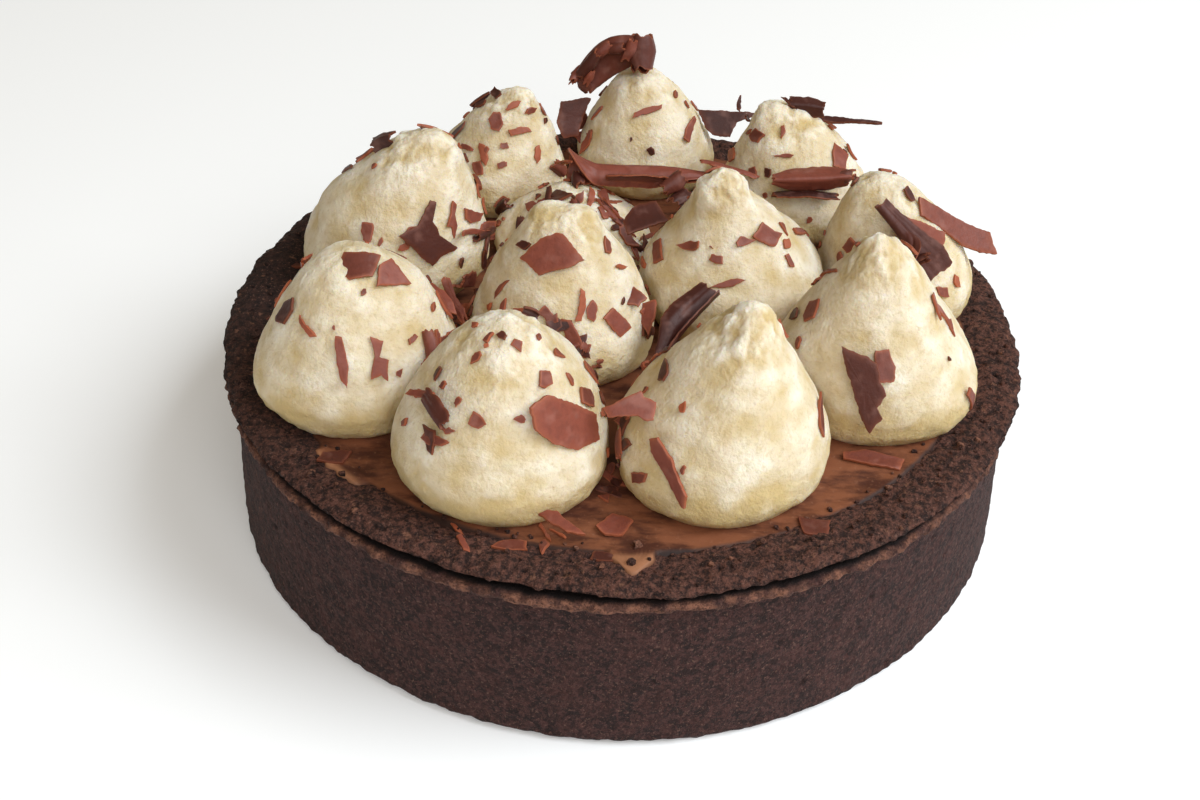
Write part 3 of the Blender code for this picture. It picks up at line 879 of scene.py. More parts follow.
# Rolled shavings: the node each stands for, length, heading of the section's first
# piece, the section as (length, turn in degrees) pieces, how wide and how tightly
# turned it is along its length, how far it arches, its roll about its own length
# and its tone
Shaving = namedtuple("Shaving", "node long heading section widths turns arch roll tone")
SHAVINGS = (
    Shaving("curl_long", 23.0, 0, ((2.0, -10), (2.6, 150), (3.6, 115), (1.2, 20)),
            (1.25, 1.0, 1.0, 1.0, 0.75, 0.40), (0.60, 0.95, 1.0, 1.0, 0.9, 0.8), 0.6, 0, 0.40),
    Shaving("curl_crown", 11.5, 170, ((1.4, -80), (4.2, -12), (3.0, -240)),
            (0.85, 1.0, 1.05, 0.9), (1.3, 1.1, 0.8, 0.5), 1.6, 0, 0.27),
    Shaving("curl_gap", 14.0, -35, ((1.7, -25), (1.3, 150), (2.2, -50), (0.9, -20)),
            (0.22, 0.50, 0.95, 1.0, 0.92, 0.80), (1.0, 1.0, 1.0, 0.9, 0.8, 0.8), 0.3, -20, 0.10),
    Shaving("curl_right", 14.0, 205, ((3.2, -20), (5.4, -380)),
            (0.55, 0.65, 0.80, 1.0, 1.25, 1.10), (1.0, 1.0, 0.9, 0.5, 0.1, 0.0), 0.3, 25, 0.16),
    Shaving("shard_back_right", 12.6, 176, ((3.0, 12), (0.6, 100), (2.6, 15)),
            (0.35, 0.9, 1.0, 1.0, 0.75), (0.9, 1.0, 1.0, 1.0, 1.0), 0.2, 0, 0.38),
)
SHARD_FACES = {"shard_outer": (0.50, -0.56, 0.66)}   # shards not flat against their node

# Crumpled ends and strands beside a shaving: the node, how far away along its axes,
# length, width of the rolled sheet, turn, swing about Z, tilt up and tone
Crumple = namedtuple("Crumple", "node away long sheet turn swing tilt tone")
CRUMPLES = (
    Crumple("curl_crown", (5.2, -0.8, -0.6), 6.4, 11.0, 330, 95, 60, 0.20),
    Crumple("curl_crown", (-3.4, -2.0, 1.9), 6.4, 4.0, 320, 5, 54, 0.14),
    Crumple("curl_crown", (-4.2, -2.2, 0.0), 3.4, 2.4, 260, 5, 62, 0.60),
    Crumple("curl_crown", (3.6, -2.0, 1.2), 4.4, 3.6, 300, 20, 70, 0.40),
    Crumple("curl_crown", (-5.6, -1.2, -1.2), 3.6, 4.2, 300, 20, -60, 0.20),
    Crumple("curl_crown", (-1.0, -1.4, 2.8), 5.0, 3.0, 280, 10, 38, 0.34),
    Crumple("curl_crown", (-6.2, -1.4, 0.8), 3.8, 3.4, 320, 60, 30, 0.30),
    Crumple("curl_crown", (1.6, -1.6, 2.4), 3.6, 3.2, 300, -10, 20, 0.22),
    Crumple("curl_long", (1.0, -2.4, -1.0), 13.0, 3.0, 70, 2, -2, 0.30),
    Crumple("curl_long", (5.6, -3.4, -1.2), 4.8, 6.4, 330, 30, 24, 0.24),
    Crumple("curl_long", (6.6, -4.6, -3.0), 4.4, 4.6, 200, 50, 10, 0.10),
    Crumple("curl_long", (14.5, 0.4, -0.2), 10.0, 1.6, 120, -8, -12, 0.42),
    Crumple("curl_long", (-9.6, -2.2, -1.6), 3.4, 3.0, 240, -70, -20, 0.12),
    Crumple("curl_long", (-11.8, -1.0, 0.8), 4.2, 1.2, 90, -50, 30, 0.66),
    Crumple("curl_right", (2.6, -0.6, 1.4), 6.0, 3.0, 240, 160, -35, 0.14),
    Crumple("shard_back_right", (-0.6, -0.8, -2.4), 11.0, 4.4, 110, 2, 0, 0.06),
    Crumple("shard_back_right", (5.6, -0.4, 0.6), 4.0, 3.4, 280, 8, 14, 0.20),
)

KISS_SHOWN_FROM = 28.6               # height above which a kiss shows
BACK_FLAKES = 7                      # flakes scattered on the far side of each kiss
# Specks of chocolate on each kiss
SPECKS = {"left": 3, "far_left": 3, "front_left": 6, "centre": 9, "centre_right": 7,
          "back_left": 9, "centre_back": 10, "back_right": 7, "front_right": 4, "right": 4,
          "far_right": 6, "back": 6}
RING_FLAKES = 26                     # flakes on the filling round the far side
CRUMBS = 430
HEAP_NORMAL = np.array((0.0, -0.45, 0.89))   # the way the flakes of a heap face

# Flakes by kiss: bearing in degrees, share of the height, spin in degrees, length and
# width in millimetres, tone and shape
FLAKES = {
    "left": (
        (-58, 0.97, -14, 5.0, 5.2, 0.30, "chip"),
        (-14, 0.88, -38, 5.0, 4.2, 0.62, "wedge"),
        (-153, 0.63, 72, 3.8, 2.3, 0.10, "chip"),
        (-119, 0.65, -17, 4.1, 0.9, 0.80, "stick"),
        (-91, 0.55, -80, 5.9, 1.1, 0.50, "stick"),
        (-66, 0.52, -100, 5.3, 2.6, 0.50, "hook"),
        (-33, 0.47, -117, 4.8, 1.5, 0.42, "roll"),
        (13, 0.50, -113, 4.8, 1.6, 0.66, "leaf"),
        (-19, 0.46, -135, 4.4, 1.4, 0.50, "leaf"),
        (-9, 0.39, -24, 6.6, 2.0, 0.38, "hook"),
        (-65, 0.85, 0, 1.0, 0.8, 0.30, "chip"),
        (-38, 0.55, 10, 1.5, 0.8, 0.40, "chip"),
        (-55, 0.41, 60, 1.2, 0.7, 0.40, "chip"),
        (-5, 0.61, 20, 1.3, 0.7, 0.50, "leaf"),
    ),
    "front_left": (
        (-12, 0.55, -58, 2.7, 2.5, 0.30, "chip"),
        (-3, 0.81, -57, 2.1, 1.5, 0.60, "wedge"),
        (-46, 0.77, -20, 1.8, 2.0, 0.45, "chip"),
        (-18, 0.68, -107, 1.7, 0.9, 0.50, "leaf"),
        (14, 0.55, -108, 3.3, 1.7, 0.45, "wedge"),
        (-74, 0.65, -23, 1.4, 0.9, 0.45, "chip"),
        (-106, 0.63, -27, 2.4, 1.4, 0.42, "chip"),
        (-122, 0.69, 78, 1.2, 0.7, 0.40, "chip"),
        (-156, 0.72, 98, 1.7, 1.3, 0.12, "chip"),
        (-156, 0.60, 33, 5.6, 1.0, 0.48, "stick"),
        (-136, 0.58, -16, 5.6, 3.0, 0.18, "fold"),
        (-129, 0.48, 6, 3.8, 1.3, 0.34, "stick"),
        (-131, 0.47, -53, 3.7, 2.1, 0.16, "chip"),
        (-119, 0.56, 31, 1.9, 0.9, 0.35, "wedge"),
        (-156, 0.44, 65, 1.2, 0.8, 0.40, "chip"),
        (-122, 0.95, 83, 1.5, 0.9, 0.45, "chip"),
        (-89, 0.97, 2, 1.2, 1.0, 0.20, "chip"),
        (-63, 0.94, -62, 1.6, 1.1, 0.50, "wedge"),
        (-124, 0.88, 58, 1.6, 1.0, 0.40, "chip"),
    ),
    "centre": (
        (-80, 0.37, -69, 6.6, 1.9, 0.42, "stick"),
        (-143, 0.83, 12, 2.2, 1.1, 0.12, "chip"),
        (-18, 0.79, -136, 2.0, 1.1, 0.40, "chip"),
        (-17, 0.66, -34, 2.5, 0.8, 0.85, "leaf"),
        (-47, 0.41, -64, 4.2, 2.6, 0.50, "chip"),
        (-64, 0.52, 67, 3.4, 1.8, 0.45, "leaf"),
        (-72, 0.56, 76, 3.9, 1.0, 0.90, "stick"),
        (-96, 0.51, -39, 4.0, 3.0, 0.34, "hook"),
        (-86, 0.47, 10, 2.4, 1.5, 0.05, "chip"),
        (-93, 0.48, -41, 2.3, 1.7, 0.12, "chip"),
        (-117, 0.50, 14, 2.9, 1.0, 0.85, "stick"),
        (-136, 0.49, 103, 2.3, 1.0, 0.60, "wedge"),
        (-146, 0.56, 70, 3.5, 0.7, 0.50, "stick"),
    ),
    "front_right": (
        (-173, 0.62, -10, 4.0, 1.7, 0.14, "leaf"),
        (-132, 0.58, -51, 1.3, 0.9, 0.90, "chip"),
        (-115, 0.34, 94, 1.4, 0.7, 0.40, "leaf"),
        (-138, 0.21, 34, 2.4, 1.5, 0.30, "chip"),
        (-13, 0.42, -129, 5.3, 1.6, 0.30, "leaf"),
    ),
    "right": (
        (-93, 0.50, -80, 4.6, 2.8, 0.34, "chip"),
        (-167, 0.58, 37, 3.0, 3.0, 0.40, "chip"),
        (174, 0.46, 41, 2.2, 1.7, 0.12, "chip"),
        (-158, 0.43, 107, 1.8, 1.0, 0.45, "leaf"),
        (-22, 0.64, -100, 3.4, 2.6, 0.72, "hook"),
        (-19, 0.54, -100, 3.6, 1.5, 0.62, "wedge"),
        (-30, 0.17, -60, 4.8, 1.1, 0.40, "stick"),
        (165, 0.73, 52, 5.0, 0.6, 0.50, "stick"),
    ),
    "far_left": (
        (-109, 0.55, -74, 3.3, 1.8, 0.40, "chip"),
        (-76, 0.56, -6, 2.2, 1.1, 0.35, "chip"),
        (-79, 0.47, 14, 1.9, 1.0, 0.85, "leaf"),
        (-96, 0.49, 77, 1.4, 0.6, 0.50, "leaf"),
        (-42, 0.57, -119, 5.6, 2.1, 0.52, "hook"),
        (-22, 0.52, -28, 4.4, 1.7, 0.46, "chip"),
        (-41, 0.12, -27, 4.6, 3.1, 0.34, "fold"),
        (-40, 0.27, -108, 1.9, 0.7, 0.12, "stick"),
        (6, 0.44, -159, 2.6, 1.3, 0.40, "chip"),
        (5, 0.57, -167, 3.0, 0.6, 0.50, "stick"),
        (165, 0.86, 55, 4.8, 2.8, 0.12, "fold"),
        (100, 0.99, 80, 2.6, 0.5, 0.14, "stick"),
        (-17, 0.16, 100, 4.0, 1.1, 0.12, "stick"),
        (-14, 0.33, -16, 6.0, 1.5, 0.12, "roll"),
        (-28, 0.43, -23, 8.6, 0.7, 0.60, "stick"),
        (162, 0.66, 60, 5.0, 0.9, 0.12, "stick"),
    ),
    "centre_back": (
        (166, 0.40, 56, 6.0, 1.4, 0.10, "roll"),
        (-160, 0.80, 20, 2.8, 1.8, 0.42, "chip"),
        (-127, 0.98, 61, 5.0, 3.6, 0.13, "hook"),
        (-18, 0.92, -140, 5.0, 1.3, 0.80, "wedge"),
        (-60, 0.95, 30, 4.6, 0.6, 0.14, "stick"),
        (-17, 0.65, -107, 6.8, 1.3, 0.66, "hook"),
        (-24, 0.68, -100, 6.0, 0.7, 0.40, "stick"),
        (-21, 0.63, -52, 3.6, 1.4, 0.14, "leaf"),
        (-31, 0.34, -110, 4.8, 0.9, 0.40, "stick"),
        (-9, 0.27, -31, 5.0, 0.7, 0.42, "stick"),
        (-150, 0.55, -30, 3.6, 1.6, 0.12, "fold"),
        (10, 0.80, 20, 3.4, 1.8, 0.38, "fold"),
    ),
    "centre_right": (
        (-167, 0.45, 160, 4.0, 2.5, 0.42, "chip"),
        (-46, 0.67, -38, 4.2, 2.9, 0.46, "chip"),
        (-77, 0.67, 14, 2.7, 1.4, 0.45, "wedge"),
        (-134, 0.59, 22, 3.6, 1.5, 0.40, "leaf"),
        (-105, 0.57, -8, 1.8, 1.2, 0.40, "chip"),
        (-96, 0.46, 15, 4.0, 1.3, 0.52, "leaf"),
        (-15, 0.63, -115, 2.8, 1.3, 0.50, "wedge"),
        (5, 0.54, -40, 3.0, 1.1, 0.45, "stick"),
        (-29, 0.58, -130, 1.6, 1.3, 0.90, "chip"),
        (-38, 0.50, -98, 1.9, 1.0, 0.45, "chip"),
        (-176, 0.32, 8, 2.5, 0.9, 0.95, "stick"),
    ),
    "far_right": (
        (-140, 0.58, 70, 2.4, 1.5, 0.40, "chip"),
        (-148, 0.46, 73, 1.5, 1.1, 0.45, "chip"),
        (-35, 0.92, -77, 2.3, 1.4, 0.14, "chip"),
        (170, 0.90, 10, 1.6, 1.4, 0.14, "chip"),
        (-43, 0.33, -109, 1.8, 1.2, 0.95, "chip"),
        (-61, 0.33, -39, 2.8, 1.5, 0.45, "leaf"),
    ),
    "back_left": (
        (-165, 0.60, 85, 4.0, 2.5, 0.14, "chip"),
        (180, 0.84, 63, 2.9, 1.0, 0.14, "stick"),
        (170, 0.94, 10, 3.5, 1.3, 0.12, "stick"),
        (-87, 0.93, 11, 2.8, 1.2, 0.85, "leaf"),
        (-81, 0.18, 17, 3.2, 1.4, 0.30, "leaf"),
        (-26, 0.30, -48, 4.2, 2.0, 0.34, "fold"),
        (-111, 0.82, -68, 3.9, 2.2, 0.38, "leaf"),
        (-67, 0.74, 0, 3.1, 1.3, 0.80, "stick"),
        (-43, 0.88, -14, 2.1, 1.0, 0.40, "chip"),
        (2, 0.79, -62, 2.8, 1.4, 0.40, "chip"),
        (-44, 0.53, -114, 3.0, 1.3, 0.90, "leaf"),
        (-85, 0.50, 14, 1.9, 1.0, 0.40, "chip"),
        (-133, 0.57, 7, 3.1, 1.0, 0.45, "stick"),
        (-109, 0.56, -58, 3.7, 1.3, 0.80, "leaf"),
        (-109, 0.45, -53, 2.2, 1.7, 0.42, "chip"),
    ),
    "back": (
        (-84, 0.75, 15, 5.2, 1.0, 0.72, "stick"),
        (-36, 0.52, 26, 6.2, 1.4, 0.52, "stick"),
        (-20, 0.80, 40, 1.2, 0.8, 0.40, "chip"),
        (-10, 0.68, 80, 1.4, 0.9, 0.45, "chip"),
    ),
    "back_right": (
        (-150, 0.80, 0, 2.0, 1.8, 0.30, "chip"),
        (-103, 0.85, -67, 2.8, 0.8, 0.62, "wedge"),
        (-100, 0.73, 8, 4.6, 0.7, 0.60, "leaf"),
        (-137, 0.55, -49, 1.6, 1.5, 0.30, "chip"),
        (-33, 0.65, -136, 4.1, 3.3, 0.50, "chip"),
        (-5, 0.60, -80, 3.3, 1.5, 0.75, "wedge"),
        (-83, 0.26, 49, 1.7, 0.7, 0.70, "leaf"),
    ),
}

# Flakes that lie heaped between the kisses: place, spin, length, width, tone and shape
LOOSE_FLAKES = (
    (-24.2, -12.0, 38.6, -62, 9.4, 0.9, 0.40, "stick"),
    (-23.2, -12.6, 37.9, -66, 8.6, 0.8, 0.30, "hook"),
    (-25.2, -12.4, 38.2, -50, 6.0, 1.6, 0.50, "leaf"),
    (-8.6, 46.0, 36.5, 40, 4.4, 2.6, 0.30, "fold"),
    (-9.2, 44.6, 34.2, -20, 4.2, 2.4, 0.42, "hook"),
    (3.4, -12.0, 37.0, 84, 5.2, 2.5, 0.44, "chip"),
    (1.6, -11.6, 39.2, -30, 3.2, 2.5, 0.34, "chip"),
    (18.4, 43.4, 41.6, 85, 3.0, 0.6, 0.10, "stick"),
    (28.4, 32.0, 47.2, -6, 6.4, 2.4, 0.12, "fold"),
    (25.4, 32.4, 48.7, -45, 2.8, 0.5, 0.12, "stick"),
    (-20.8, 18.1, 29.6, 20, 2.9, 1.8, 0.50, "chip"),
    (1.2, -38.4, 29.6, -38, 3.0, 1.8, 0.14, "chip"),
    (0.2, -37.6, 31.0, -83, 3.0, 1.6, 0.10, "roll"),
)

# Heaps of splinters in the hollows between kisses: middle, reach across and away
# from it in millimetres, and number
HEAPS = (
    (-24.5, -4.5, 3.0, 6.0, 26),
    (-20.5, 8.0, 3.0, 4.0, 9),
    (-6.0, 15.5, 8.0, 4.0, 15),
    (3.5, 13.0, 3.5, 5.0, 14),
    (-22.5, -22.5, 3.0, 4.0, 12),
    (-8.0, -20.5, 6.0, 2.5, 14),
    (-0.5, -38.5, 2.0, 4.0, 14),
    (5.5, -14.0, 4.0, 4.0, 10),
    (-7.5, 38.0, 3.5, 4.5, 14),
    (14.5, 27.0, 8.0, 3.5, 16),
    (29.5, 18.0, 5.0, 3.5, 10),
    (27.5, -8.0, 3.5, 4.0, 8),
)

# Flakes on the filling and rim: place across the tart, spin, length, width, tone and shape
FILLING_FLAKES = (
    (-12.9, -51.3, 3, 3.7, 1.9, 0.30, "chip"),
    (-8.8, -51.2, -84, 2.3, 1.5, 0.40, "wedge"),
    (-9.0, -48.5, -61, 3.5, 0.5, 0.90, "stick"),
    (-7.1, -48.8, -35, 2.4, 0.4, 0.90, "stick"),
    (-0.1, -46.6, -19, 4.1, 3.6, 0.44, "chip"),
    (-1.5, -52.9, -9, 3.4, 1.6, 0.14, "chip"),
    (-20.1, -48.3, -55, 3.1, 0.6, 0.85, "stick"),
    (-19.1, -51.2, -63, 3.2, 0.8, 0.50, "stick"),
    (25.2, -46.2, 3, 4.2, 3.3, 0.24, "chip"),
    (-37.7, -36.2, 3, 4.2, 2.7, 0.20, "chip"),
    (-50.6, 12.0, 74, 5.9, 4.6, 0.16, "chip"),
)


def solid_rings(points, broken):
    """A plate's rings as a closed mesh: vertices, faces and the broken mark."""
    vertices, faces = closed_rings(points)
    marks = np.broadcast_to(broken[:, None], points.shape[:2])
    return vertices, faces, with_ends(marks)


def broken_edge(corners, seed, spacing):
    """Points round a flake's edge, a little chipped and bowed between its corners."""
    edge = []
    for start, end in zip(corners, np.roll(corners, -1, axis=0)):
        side = end - start
        length = np.linalg.norm(side)
        steps = max(2, round(length / spacing))
        out = np.array((side[1], -side[0])) / length
        share = np.arange(steps)[:, None] / steps
        run = start + share * side
        chip = 0.16 * noise(np.column_stack((run, run[:, 0] * 0 + seed)), 0.7, seed)
        bow = 0.05 * length * noise(np.array(((*start, seed),)), 1.0, seed + 5.0)
        edge.append(run + out * (chip[:, None] + bow * np.sin(math.pi * share)))
    return np.concatenate(edge)


def plate(outline, thick, bend, seed, spacing=0.35):
    """A flat broken flake: rings out over its underside and back in over its top."""
    corners = np.array(outline, float)
    area = sum(a[0] * b[1] - a[1] * b[0] for a, b in zip(corners, np.roll(corners, -1, axis=0)))
    if area < 0:
        corners = corners[::-1]
    edge = broken_edge(corners, seed, spacing)
    middle = edge.mean(axis=0)
    reach = np.linalg.norm(edge - middle, axis=1).mean()
    out_to_edge = (0.12, 0.45, 0.75, 1 - EDGE_BAND / reach, 1.0)
    shares = np.array(out_to_edge + out_to_edge[::-1])
    sides = np.array((-1, -1, -1, -1, -0.7, 0.7, 1, 1, 1, 1)) * thick / 2
    broken = np.array((0, 0, 0, 0.2, 1, 1, 0.35, 0, 0, 0.0))
    flat = middle + shares[:, None, None] * (edge - middle)
    size = np.abs(corners - middle).max()
    local = (flat - middle) / size
    bent = bend * (local[..., 0] ** 2 + 0.5 * local[..., 0] * local[..., 1])
    height = sides[:, None] - bent
    drawn = np.stack((flat[..., 0] * 0.3, flat[..., 1], 0 * height + seed), axis=2)
    height = height + 0.07 * noise(drawn, 0.9, seed) + 0.06 * noise(drawn * 0.5, 1.2, seed + 2.0)
    return solid_rings(np.stack((flat[..., 0], flat[..., 1], height), axis=2), broken)


def section_path(heading, pieces, spacing=0.22):
    """Points along a section made of (length, turn in degrees) pieces."""
    angle = math.radians(heading)
    place = np.zeros(2)
    points = [place]
    for length, turn in pieces:
        steps = max(2, round(length / spacing))
        for _ in range(steps):
            angle += math.radians(turn) / steps
            place = place + np.array((math.cos(angle), math.sin(angle))) * length / steps
            points.append(place)
    return np.array(points)


def turned(pieces, factor):
    """A section with each of its turns scaled."""
    return tuple((length, turn * factor) for length, turn in pieces)


def along_steps(values, share):
    """Read values that are spaced evenly along a length."""
    return np.interp(share, np.linspace(0, 1, len(values)), values)


def sheet_solid(middle, thick):
    """A closed mesh of a thin sheet, from the grid of its middle surface."""
    along, across = np.gradient(middle, axis=0), np.gradient(middle, axis=1)
    normal = np.cross(along, across)
    normal /= np.maximum(np.linalg.norm(normal, axis=2, keepdims=True), 1e-9)
    half = normal * thick[..., None] / 2
    rings = np.concatenate((middle + half, (middle - half)[:, ::-1]), axis=1)
    rows, columns = rings.shape[:2]
    faces = ring_faces(rows, columns)
    last = (rows - 1) * columns
    for column in range(columns // 2 - 1):
        mirror = columns - 1 - column
        faces.append((mirror, mirror - 1, column + 1, column))
        faces.append((last + column, last + column + 1, last + mirror - 1, last + mirror))
    broken = np.zeros((rows, columns))
    half_way = columns // 2
    for column in (0, half_way - 1, half_way, columns - 1):
        broken[:, column] = 1.0
    broken[:, 1] = broken[:, half_way - 2] = 0.4
    broken[0] = broken[-1] = 0.8
    return rings.reshape(-1, 3), faces, broken.ravel()


def sheet_grid(along, across, seed):
    """Places on a sheet for noise, by their distance along and across it."""
    return np.stack((along, np.broadcast_to(across, along.shape), 0 * along + seed), axis=2)


def shaving(long, heading, section, widths, turns, arch, seed, thick=0.34, ragged=0.5):
    """A rolled shaving along X: its section changes in width and turn along it."""
    rows = max(12, round(long / 0.3))
    columns = len(section_path(heading, section))
    share = np.linspace(0, 1, rows)
    rings = np.zeros((rows, columns, 3))
    for row, place in enumerate(share):
        factor = along_steps(turns, place)
        path = section_path(heading, turned(section, factor)) * along_steps(widths, place)
        rings[row, :, 1:] = path - path[columns // 3]
    across = np.linspace(0, 1, columns)
    spot = np.column_stack((across * 9, across * 0, across * 0 + seed))
    start = -0.5 + ragged / long * (0.6 + noise(spot, 1.0, seed))
    stop = 0.5 - ragged / long * (0.6 + noise(spot, 1.0, seed + 3.0))
    rings[:, :, 0] = long * (start + (stop - start) * share[:, None])
    rings[:, :, 2] -= arch * (2 * rings[:, :, 0] / long) ** 2
    streak = sheet_grid(rings[..., 0] * 0.12, across * 14, seed)
    wave = sheet_grid(rings[..., 0], across * 3, seed)
    rings[..., 2] += 0.11 * noise(streak, 1.0, seed) + 0.09 * noise(wave, 2.2, seed + 1.0)
    # Both long edges wander, so that they look torn
    torn = 0.5 * ragged * noise(np.column_stack((share * long, share * 0, share * 0 + seed)), 0.9)
    side = np.exp(-(across / 0.12) ** 2) - np.exp(-((1 - across) / 0.12) ** 2)
    rings[..., 1] += torn[:, None] * side[None, :] * 0.8
    fade = np.minimum(1.0, np.minimum(across, 1 - across) / 0.10) * 0.5 + 0.5
    return sheet_solid(rings, thick * fade[None, :] * np.ones((rows, 1)))


def axes_from(long_axis, upward):
    """Three unit axes: along, across and up, as the rows of a matrix."""
    along = long_axis / np.linalg.norm(long_axis)
    across = np.cross(upward, along)
    across /= np.linalg.norm(across)
    return np.array((along, across, np.cross(along, across)))


def rolled_axes(axes, degrees):
    """Axes turned about the first of them."""
    turn = math.radians(degrees)
    across = axes[1] * math.cos(turn) + axes[2] * math.sin(turn)
    return np.array((axes[0], across, np.cross(axes[0], across)))


def node_spread(node):
    """A node's middle, and its directions from thinnest to longest."""
    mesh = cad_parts[node].data
    points = np.array([vertex.co[:] for vertex in mesh.vertices]) / MM
    directions = np.linalg.eigh(np.cov((points - points.mean(axis=0)).T))[1]
    return (points.min(axis=0) + points.max(axis=0)) / 2, directions.T


def flat_axes(normal):
    """Axes of a plate that faces along normal: across, up its slope and normal."""
    across = np.array((1.0, 0.0, 0.0)) - normal * normal[0]
    across /= np.linalg.norm(across)
    return np.array((across, np.cross(normal, across), normal))


def merged(pieces):
    """Join (vertices, faces, marks) into one mesh's worth."""
    vertices, faces, marks, start = [], [], {}, 0
    for points, sides, values in pieces:
        vertices.append(points)
        faces += [tuple(corner + start for corner in side) for side in sides]
        start += len(points)
        for mark, value in values.items():
            marks.setdefault(mark, []).append(np.broadcast_to(value, len(points)))
    return (np.concatenate(vertices), faces,
            {mark: np.concatenate(value) for mark, value in marks.items()})


def chocolate_slot(tone):
    """The slot that a piece of this tone belongs to."""
    return "dark_chocolate" if tone < DARK_BELOW else "milk_chocolate"


def add_chocolate(name, pieces, slot, finishes, nodes=()):
    """One mesh of pieces of chocolate, all their faces turned outwards."""
    vertices, faces, marks = merged(pieces)
    item = add_piece(name, vertices, faces, finishes[slot], nodes, marks, sharp=38)
    outward = bmesh.new()
    outward.from_mesh(item.data)
    bmesh.ops.recalc_face_normals(outward, faces=outward.faces)
    outward.to_mesh(item.data)
    outward.free()


def soft_ground(surfaces):
    """The kisses as one tree that tells how deep a point lies in the cream."""
    vertices, faces, start = [], [], 0
    for points in surfaces.values():
        rows, columns = points.shape[:2]
        vertices += points.reshape(-1, 3).tolist()
        faces += [tuple(corner + start for corner in side) for side in ring_faces(rows, columns)]
        start += rows * columns
    return BVHTree.FromPolygons(vertices, faces)


def lifted(placed, normal, tree, buried):
    """Raise or lower a piece along normal until a share of it is in the cream."""
    depths = []
    for point in placed[::3].tolist():
        place, way, _, away = tree.find_nearest(point)
        out = (np.array(point) - place) @ np.array(way)
        depths.append(-math.copysign(away, out))
    depth = float(np.quantile(depths, 1 - buried))
    if depth < -MOST_LOWERED:
        return placed
    return placed + (depth + 0.02) * normal


def build_shards(tree, finishes):
    """The larger flat pieces, each in its node's place."""
    for index, shard in enumerate(SHARDS):
        middle, directions = node_spread(shard.node)
        normal = directions[0]
        if shard.node in SHARD_FACES:
            normal = np.array(SHARD_FACES[shard.node])
            normal /= np.linalg.norm(normal)
        if normal @ TOWARDS_FRONT < 0:
            normal = -normal
        vertices, faces, broken = plate(shard.outline, shard.thick, shard.bend, index + 60.0)
        placed = middle + vertices @ flat_axes(normal)
        placed = lifted(placed, normal, tree, shard.press)
        pieces = [(placed, faces, {"broken": broken, "tone": shard.tone})]
        add_chocolate(shard.node, pieces, chocolate_slot(shard.tone), finishes, [shard.node])


def build_shavings(finishes):
    """The rolled pieces, each in its node's place, with the crumpled bits on them."""
    for index, item in enumerate(SHAVINGS):
        middle, directions = node_spread(item.node)
        long_axis = directions[2] * (1 if directions[2][0] > 0 else -1)
        axes = rolled_axes(axes_from(long_axis, UP), item.roll)
        vertices, faces, broken = shaving(item.long, item.heading, item.section, item.widths,
                                          item.turns, item.arch, index + 80.0)
        low, high = vertices.min(axis=0), vertices.max(axis=0)
        placed = middle + (vertices - (low + high) / 2) @ axes
        pieces = [(placed, faces, {"broken": broken, "tone": item.tone})]
        for extra in CRUMPLES:
            if extra.node == item.node:
                pieces.append(crumple(extra, middle, axes))
        add_chocolate(item.node, pieces, chocolate_slot(item.tone), finishes, [item.node])


def crumple(extra, middle, axes):
    """A short roll or thin strand beside a shaving."""
    section = ((extra.sheet, extra.turn),)
    vertices, faces, broken = shaving(extra.long, 100, section, (0.8, 1.0, 1.1, 0.85),
                                      (1.0, 0.9, 1.0), 0.2, extra.long + extra.sheet, ragged=0.9)
    tilt = math.radians(extra.tilt)
    swing = math.radians(extra.swing)
    along = np.array((math.cos(swing) * math.cos(tilt), math.sin(swing) * math.cos(tilt),
                      math.sin(tilt)))
    low, high = vertices.min(axis=0), vertices.max(axis=0)
    own = axes_from(along, np.array((0.0, 0.1, 1.0)))
    place = middle + np.array(extra.away) @ axes
    placed = place + (vertices - (low + high) / 2) @ own
    return placed, faces, {"broken": broken, "tone": extra.tone}


# Outlines of small flakes, one unit long and wide
SMALL_OUTLINES = {
    "chip": ((-0.5, -0.35), (-0.38, 0.45), (0.15, 0.5), (0.5, 0.3), (0.42, -0.42), (-0.1, -0.5)),
    "wedge": ((-0.5, -0.5), (-0.44, 0.15), (-0.1, 0.5), (0.5, -0.3)),
    "leaf": ((-0.5, 0.0), (-0.2, 0.42), (0.15, 0.5), (0.5, 0.05), (0.2, -0.45), (-0.2, -0.4)),
    "stick": ((-0.5, -0.4), (-0.46, 0.45), (0.1, 0.5), (0.5, 0.2), (0.45, -0.4), (0.0, -0.5)),
    "hook": ((-0.5, -0.30), (-0.38, 0.32), (-0.08, 0.12), (0.10, 0.5), (0.5, 0.38),
             (0.28, -0.06), (0.36, -0.5), (-0.12, -0.26)),
}


def flake(shape, long, wide, chance, seed):
    """A small flake with its own corners: vertices, faces and broken mark."""
    if shape == "roll":
        turn = 200 + 90 * chance.random()
        return shaving(long, 200, ((wide * 2.2, -turn),), (0.8, 1.0, 1.0, 0.85), (1.0, 1.0), 0.1,
                       seed, 0.30, 0.35)
    if shape == "fold":
        angle = 60 + 50 * chance.random()
        return shaving(long, 60, ((wide * 0.8, 8), (0.3, -angle), (wide * 0.7, -12)),
                       (0.8, 1.0, 0.9), (0.8, 1.0), 0.1, seed, 0.36, 0.6)
    corners = np.array(SMALL_OUTLINES[shape])
    corners = (corners + 0.09 * chance.normal(size=corners.shape)) * (long, wide)
    thick = FLAKE_THICKNESS * (0.8 + 0.4 * chance.random())
    bend = 0.06 * long * chance.normal()
    return plate(corners, thick, bend, seed, 0.30 + 0.04 * long)


